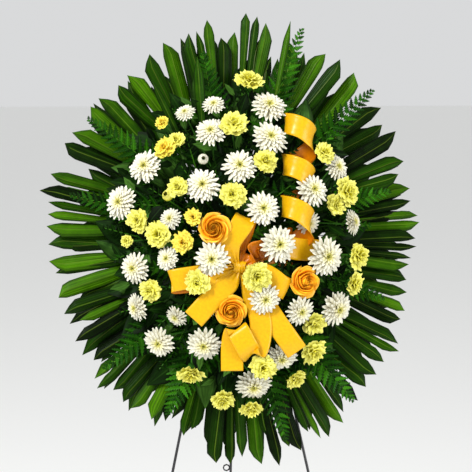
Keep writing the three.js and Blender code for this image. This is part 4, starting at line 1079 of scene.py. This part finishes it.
# The bow: one width of double-faced satin ribbon, folded into loops round a wired pick, its tails
# cut straight and one of them drawn over a blade so that it curls. Golden yellow and glossy, with
# a fine weave across it.
RIBBON_WIDE = 0.037
RIBBON_THICK = 0.0005
RIBBON_CELLS = 10
RIBBON_STEPS = 10
SATIN_THREAD = 0.196
SATIN_DRIFT = 4.55
satin, tree, shader = new_material("double_faced_satin", "f2ac00", 0.3)
shader.inputs["Sheen Weight"].default_value = 0.06
shader.inputs["Sheen Roughness"].default_value = 0.4
shader.inputs["Specular IOR Level"].default_value = 0.3
cloth = add_node(tree, "ShaderNodeUVMap", {"uv_map": "ribbon"})
waves_per_metre = math.pi / 10 * 1000 / SATIN_THREAD
threads = add_node(tree, "ShaderNodeTexWave", {"Scale": waves_per_metre, "Distortion": 0.4},
                   {"Vector": cloth.outputs["UV"]})
drift = add_node(tree, "ShaderNodeTexNoise", {"Scale": per_metre(SATIN_DRIFT), "Detail": 3.0},
                 {"Vector": cloth.outputs["UV"]})
golds = add_node(tree, "ShaderNodeValToRGB", {}, {"Fac": drift.outputs["Fac"]})
golds.color_ramp.elements[0].color = linear("c89000")
golds.color_ramp.elements[1].color = linear("e4b200")
tree.links.new(golds.outputs["Color"], shader.inputs["Base Color"])
bumps = add_node(tree, "ShaderNodeBump", {"Strength": 0.08, "Distance": 0.0002},
                 {"Height": threads.outputs["Fac"]})
tree.links.new(bumps.outputs["Normal"], shader.inputs["Normal"])

# A deeper orange copy of the satin: painted shade for the insides of loops, since the ribbon is the same gold
# on both faces.
painted_shade_satin = satin.copy()
painted_shade_satin.name = "satin_in_painted_shade"
painted_shade_golds = painted_shade_satin.node_tree.nodes["Color Ramp"].color_ramp.elements
for element, colour in zip(painted_shade_golds, ("c06400", "e08a00")):
    element.color = linear(colour)


# The side that a loop turns inwards gets the deeper orange copy: painted shade for the light that comes back
# tinted from the other half.
SHADED_INSIDE = (satin, painted_shade_satin)
SHADED_OUTSIDE = (painted_shade_satin, satin)
SHADED_BOTH = (painted_shade_satin, painted_shade_satin)
PLAIN = (satin, satin)


def ribbon_strip(name, stops, sides):
    """A strip of ribbon along smooth stops: column, row, depth in mm, way across, share of width."""
    places = [seen_at(column, row, depth / 1000) for column, row, depth, across, wide in stops]
    ribbon_through(name, places, [Vector(stop[3]) for stop in stops], [stop[4] for stop in stops], sides)


def ribbon_rows(places, ways, widths):
    """The middle, the way across and the share of width at each row of the ribbon's cells."""
    rows = []
    last = len(places) - 1
    for i in range(last):
        p0, p1, p2, p3 = (places[max(0, min(last, i + k))] for k in (-1, 0, 1, 2))
        for k in range(RIBBON_STEPS + (1 if i == last - 1 else 0)):
            t = k / RIBBON_STEPS
            place = 0.5 * (2 * p1 + (p2 - p0) * t + (2 * p0 - 5 * p1 + 4 * p2 - p3) * t * t
                           + (3 * p1 - p0 - 3 * p2 + p3) * t ** 3)
            ease = t * t * (3 - 2 * t)
            rows.append((place, ways[i].lerp(ways[i + 1], t), widths[i] + (widths[i + 1] - widths[i]) * ease))
    return rows


def ribbon_through(name, places, ways, widths, sides):
    rows = ribbon_rows(places, ways, widths)
    points = []
    uvs = []
    faces = []
    run = 0.0
    for i, (place, way, wide) in enumerate(rows):
        ahead = rows[min(i + 1, len(rows) - 1)][0] - rows[max(i - 1, 0)][0]
        ahead.normalize()
        side = (way - ahead * way.dot(ahead)).normalized()
        out = ahead.cross(side)
        if i:
            run += (place - rows[i - 1][0]).length
        for k in range(RIBBON_CELLS + 1):
            u = k / RIBBON_CELLS * 2 - 1
            crease = (1 - wide) * 0.006 * math.cos(u * 9) + 0.0008 * math.cos(u * 1.5)
            points.append(FACE @ (place + side * (u * RIBBON_WIDE * wide / 2) + out * crease))
            uvs.append((k / RIBBON_CELLS * RIBBON_WIDE, run))
    for i in range(len(rows) - 1):
        for k in range(RIBBON_CELLS):
            a = i * (RIBBON_CELLS + 1) + k
            b = a + RIBBON_CELLS + 1
            faces.append((a, a + 1, b + 1, b))
    mesh = bpy.data.meshes.new(name)
    mesh.from_pydata(points, [], faces)
    layer = mesh.uv_layers.new(name="ribbon")
    for loop in mesh.loops:
        layer.data[loop.index].uv = uvs[loop.vertex_index]
    for side_material in sides:
        mesh.materials.append(side_material)
    mesh.polygons.foreach_set("use_smooth", [True] * len(mesh.polygons))
    piece = bpy.data.objects.new(name, mesh)
    bpy.context.scene.collection.objects.link(piece)
    bpy.ops.object.select_all(action="DESELECT")
    bpy.context.view_layer.objects.active = piece
    piece.select_set(True)
    thicken = piece.modifiers.new("cloth_thickness", "SOLIDIFY")
    thicken.thickness = RIBBON_THICK
    thicken.offset = 0
    thicken.material_offset = 1
    bpy.ops.object.modifier_apply(modifier="cloth_thickness")
    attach(piece, "spray_on_easel")
    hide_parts("ribbon_bow")


bow = {
    "ribbon_upper_loop": [
        (237, 268, -160, (1, 0, -0.1), 0.25),
        (229, 246, -174, (0.97, 0, -0.2), 1),
        (241, 226, -178, (0.94, 0, -0.34), 1),
        (247, 217, -168, (0.94, 0, -0.34), 1),
        (243, 230, -156, (0.94, 0, -0.3), 1),
        (239, 262, -154, (1, 0, -0.1), 0.25),
    ],
    "ribbon_left_loop": [
        (236, 268, -160, (-0.1, 0, 1), 0.25),
        (205, 275, -170, (-0.15, 0, 1), 1),
        (178, 279, -170, (-0.25, 0, 1), 1),
        (170, 281, -161, (-0.25, 0, 1), 1),
        (180, 282, -152, (-0.2, 0, 1), 1),
        (210, 277, -147, (-0.1, 0, 1), 1),
        (237, 269, -154, (0, 0, 1), 0.25),
    ],
    "ribbon_right_loop": [
        (241, 267, -158, (0.4, 0, 1), 0.25),
        (266, 276, -164, (0.5, 0, 0.86), 1),
        (281, 287, -166, (0.45, 0, 0.9), 1),
        (287, 290, -157, (0.45, 0, 0.9), 1),
        (280, 286, -149, (0.45, 0, 0.9), 1),
        (262, 275, -146, (0.4, 0, 0.9), 1),
        (241, 268, -154, (0.3, 0, 1), 0.25),
    ],
    "ribbon_shaded_loop": [
        (240, 266, -158, (0.7, 0, 0.7), 0.25),
        (251, 254, -158, (0.7, 0, 0.7), 1),
        (260, 247, -156, (0.75, 0, 0.65), 1),
        (264, 246, -149, (0.75, 0, 0.65), 1),
        (256, 254, -143, (0.7, 0, 0.7), 1),
        (241, 266, -152, (0.7, 0, 0.7), 0.25),
    ],
    "ribbon_left_tail": [
        (238, 268, -157, (0.82, 0, -0.3), 0.25),
        (227, 283, -166, (0.8, 0, -0.45), 1),
        (209, 301, -168, (0.816, 0, -0.58), 1),
        (192.3, 318.8, -164, (0.816, 0, -0.58), 1),
    ],
    "ribbon_lower_loop": [
        (240, 268, -156, (1, 0, 0.1), 0.25),
        (254, 300, -156, (1, 0, 0.1), 1),
        (260, 325, -160, (1, 0, 0.15), 1),
        (257, 347, -166, (0.95, 0, 0.3), 1),
        (251, 355, -172, (0.9, 0, 0.4), 1),
        (246, 348, -180, (0.85, 0, 0.5), 1),
        (238, 333, -180, (0.8, 0, 0.6), 1),
        (234.5, 330, -172, (0.85, 0, 0.5), 1),
        (231, 345, -168, (1, 0, 0), 1),
        (230.5, 371, -166, (1, 0, -0.2), 1),
    ],
    "ribbon_right_tail": [
        (242, 268, -154, (1, 0, 0.4), 0.25),
        (262, 302, -152, (1, 0, 0.4), 1),
        (274, 321, -158, (0.9, 0, 0.45), 1),
        (287, 340, -160, (0.85, 0, 0.5), 1),
        (296, 353, -154, (0.9, 0, 0.3), 1),
    ],
}
bow_sides = {
    "ribbon_upper_loop": SHADED_INSIDE,
    "ribbon_left_loop": SHADED_INSIDE,
    "ribbon_right_loop": SHADED_OUTSIDE,
    "ribbon_shaded_loop": SHADED_BOTH,
}
for name, stops in bow.items():
    ribbon_strip(name, stops, bow_sides.get(name, PLAIN))

# The curled tail starts in a flat loop to the right and then winds up in front of the leaves.
CURL_TURNS = 2.9
CURL_RADIUS = 0.025
CURL_STOPS = 8
CURL_ARCH = 0.009
CURL_START_ANGLE = -0.6 * math.pi
CURL_WIDE = 0.97
curl_start = [
    (240, 266, -0.154, 0.25),
    (262, 258, -0.138, 0.8),
    (290, 256, -0.116, 1),
    (312, 254, -0.104, 1),
    (322, 252, -0.113, 1),
    (313, 251, -0.128, 1),
    (299, 250, -0.148, 1),
    (288, 247, -0.156, 1),
    (285, 242, -0.146, 1),
    (291, 239, -0.134, 1),
]
places = [seen_at(column, row, depth) for column, row, depth, wide in curl_start]
ways = [Vector((0.1, 0, 1)) for stop in curl_start]
widths = [stop[3] for stop in curl_start]
curl_foot = seen_at(296, 240, -0.152)
curl_top = seen_at(301, 120, -0.118)
curl_count = round(CURL_TURNS * CURL_STOPS)
for i in range(curl_count + 1):
    angle = CURL_START_ANGLE + i / CURL_STOPS * 2 * math.pi
    place = curl_foot.lerp(curl_top, i / curl_count)
    place.x += math.cos(angle) * CURL_RADIUS
    place.y -= math.sin(angle) * CURL_RADIUS
    place.z += math.sin(angle) * CURL_ARCH
    places.append(place)
    ways.append(Vector((0.35 * math.sin(angle), 0, 1)))
    widths.append(CURL_WIDE)
ribbon_through("ribbon_curled_tail", places, ways, widths, SHADED_INSIDE)

# The knot and its wired pick: a turn of the same ribbon pulled tight over the gathered middle,
# on a green wire that is pushed into the foam.
KNOT_HALF = 0.011
KNOT_ROUND = 0.0095
PICK_WIRE = 0.0015
knot_place = seen_at(239, 267, -0.158)
pick_foot = seen_at(239, 267, -0.0544)
knot = Growth()
knot_strip = plain_strip(12, 16)


def knot_shape(u, v):
    angle = v * 2 * math.pi
    way = Vector((0, -math.cos(angle), math.sin(angle)))
    spread = KNOT_ROUND + 0.0006 * math.cos(u * 14) - 0.002 * u * u
    tight = 1 - 0.15 * math.cos(angle * 2)
    place = Vector((u * KNOT_HALF * tight, way.y * spread, way.z * spread * 1.1))
    return knot_place + place, RIBBON_THICK, way


knot.add(knot_strip, knot_shape, 0.5)
knot.stem([pick_foot, knot_place], PICK_WIRE, 0.5, 1)
knot.piece("ribbon_knot", [satin, stem_green], "gold_satin", ["ribbon_bow"])


# What fills the gaps: short sprigs of the same fern, the lobed leaves on the flowers' own stems,
# and broad leathery salal leaves that lie over the foam and hide it. All are set behind the heads
# by a seeded spiral, each on a stem that comes out of the foam.
filler_leaf = leaf_material("flower_foliage", "040e01", "123004", "5a8c34", "3c6a20", 0.5, 3.0)
foliage_strip = plain_strip(6, 6)
chance = random.Random(77)
SPRIGS = 56
SPRIG_SPREAD = (0.2, 0.245)
SPRIG_BACK = 0.034
SPRIG_PAIRS = 7
SPRIG_STALK = 0.0011
sprigs = Growth()
for k in range(SPRIGS):
    angle = k * GOLDEN_ANGLE + chance.uniform(-0.2, 0.2)
    share = math.sqrt((k + 0.6) / SPRIGS)
    x = FOAM_MIDDLE.x + math.cos(angle) * share * SPRIG_SPREAD[0]
    z = math.sin(angle) * share * SPRIG_SPREAD[1]
    middle = Vector((x, dome_depth(x, z) + SPRIG_BACK + chance.uniform(0, 0.014), z))
    way_x = math.cos(angle + chance.uniform(-0.5, 0.5))
    way_z = math.sin(angle + chance.uniform(-0.5, 0.5))
    outward = Vector((way_x, -0.25, way_z)).normalized()
    size = chance.uniform(0.06, 0.095)
    foot = middle - outward * size * 0.5
    face = Vector((math.cos(angle) * 0.4 * share, -1, math.sin(angle) * 0.4 * share)).normalized()
    # Painted shade: most sprigs take a darker tone than the same fern outside the dome, for the shade among
    # the flowers; every fifth keeps a mid green.
    tone = chance.uniform(0.45, 0.7) if k % 5 == 0 else chance.uniform(-0.1, 0.2)
    tip = middle + outward * size * 0.5
    grow_frond(sprigs, foot, tip, size * 0.66, SPRIG_PAIRS, chance, arch=0.004, tone=tone, out=face)
    start = stem_start(foot, FLOWER_STEMS)
    bend = start.lerp(foot, 0.7) + FORWARD * 0.004
    sprigs.stem([start, bend, foot, foot + outward * 0.008], SPRIG_STALK, 0.4, 0, sides=5)
sprigs.piece("fern_sprigs", [fern_green], "fern_leaf")

LEAF_THICK = 0.0004
LEAF_FREE = 0.055
# Most lobed leaves take the dark tones: their own dark green, pushed darker as painted shade among the
# flowers; every fourth is a paler green.
LEAF_TONES = (0.0, 0.45)
LEAF_TONES_LIGHT = (0.6, 1.0)
lobed_leaves = {
    "count": 230, "first": 1.0, "spread": (0.205, 0.25), "turn": 1.2, "rise": (-0.5, 0.2),
    "face": (0.4, -0.2, 0.6), "long": (0.022, 0.04), "wide": (0.2, 0.3), "curl": (-0.004, 0.008),
    "foot": 0.06, "blunt": 0.8, "lobes": 0.12, "fold": 0.18, "stalk": 0.0008, "bow": 0.003, "neck": 0.004,
}
salal = {
    "count": 160, "first": 2.0, "spread": (0.185, 0.235), "turn": 0.7, "rise": (-0.15, 0.25),
    "face": (0.3, -0.1, 0.5), "long": (0.055, 0.08), "wide": (0.24, 0.32), "curl": (0.0, 0.01),
    "foot": 0.05, "blunt": 0.75, "lobes": 0, "fold": 0.2, "stalk": 0.001, "bow": 0.002, "neck": 0.006,
}


def spiral_spots(kind):
    """The places of one kind of leaf: number, angle, share of the way out, and x and z."""
    for k in range(kind["count"]):
        angle = k * GOLDEN_ANGLE + kind["first"]
        share = math.sqrt((k + 0.5) / kind["count"])
        x = FOAM_MIDDLE.x + math.cos(angle) * share * kind["spread"][0]
        yield k, angle, share, x, math.sin(angle) * share * kind["spread"][1]


def grow_leaf(leaves, kind, spot, angle, tones):
    """One leaf on its stalk, turned a little from the way out of the foam."""
    turn = angle + chance.uniform(-kind["turn"], kind["turn"])
    way = Vector((math.cos(turn), chance.uniform(*kind["rise"]), math.sin(turn))).normalized()
    sideways, low, high = kind["face"]
    face = Vector((chance.uniform(-sideways, sideways), -1, chance.uniform(low, high)))
    face = (face - way * face.dot(way)).normalized()
    cross = way.cross(face)
    length = chance.uniform(*kind["long"])
    half = length * chance.uniform(*kind["wide"])
    curl = chance.uniform(*kind["curl"])

    def leaf_shape(u, v):
        width = half * math.sin(math.pi * min(1.0, kind["foot"] + (1 - kind["foot"]) * v) ** kind["blunt"])
        width *= 1 + kind["lobes"] * math.sin(v * 22) * abs(u)
        place = spot + way * (v * length) + cross * (u * width)
        return place + face * (kind["fold"] * width * abs(u) - curl * v * v), LEAF_THICK, face

    leaves.add(foliage_strip, leaf_shape, chance.uniform(*tones))
    start = stem_start(spot, FLOWER_STEMS)
    bend = start.lerp(spot, 0.6) + FORWARD * kind["bow"]
    leaves.stem([start, bend, spot, spot + way * kind["neck"]], kind["stalk"], 0.4, 0, sides=4)


leaves = Growth()
for k, angle, share, x, z in spiral_spots(lobed_leaves):
    spot = Vector((x, dome_depth(x, z) + chance.uniform(0.03, 0.06), z))
    if (spot - curl_foot).length >= LEAF_FREE:
        grow_leaf(leaves, lobed_leaves, spot, angle, LEAF_TONES_LIGHT if k % 4 == 0 else LEAF_TONES)
leaves.piece("flower_foliage", [filler_leaf], "fern_leaf")

leaves = Growth()
for k, angle, share, x, z in spiral_spots(salal):
    spot = Vector((x, -0.1 + 0.035 * share + chance.uniform(-0.008, 0.008), z))
    grow_leaf(leaves, salal, spot, angle, (0.3, 0.8))
leaves.piece("salal_leaves", [filler_leaf], "fern_leaf")
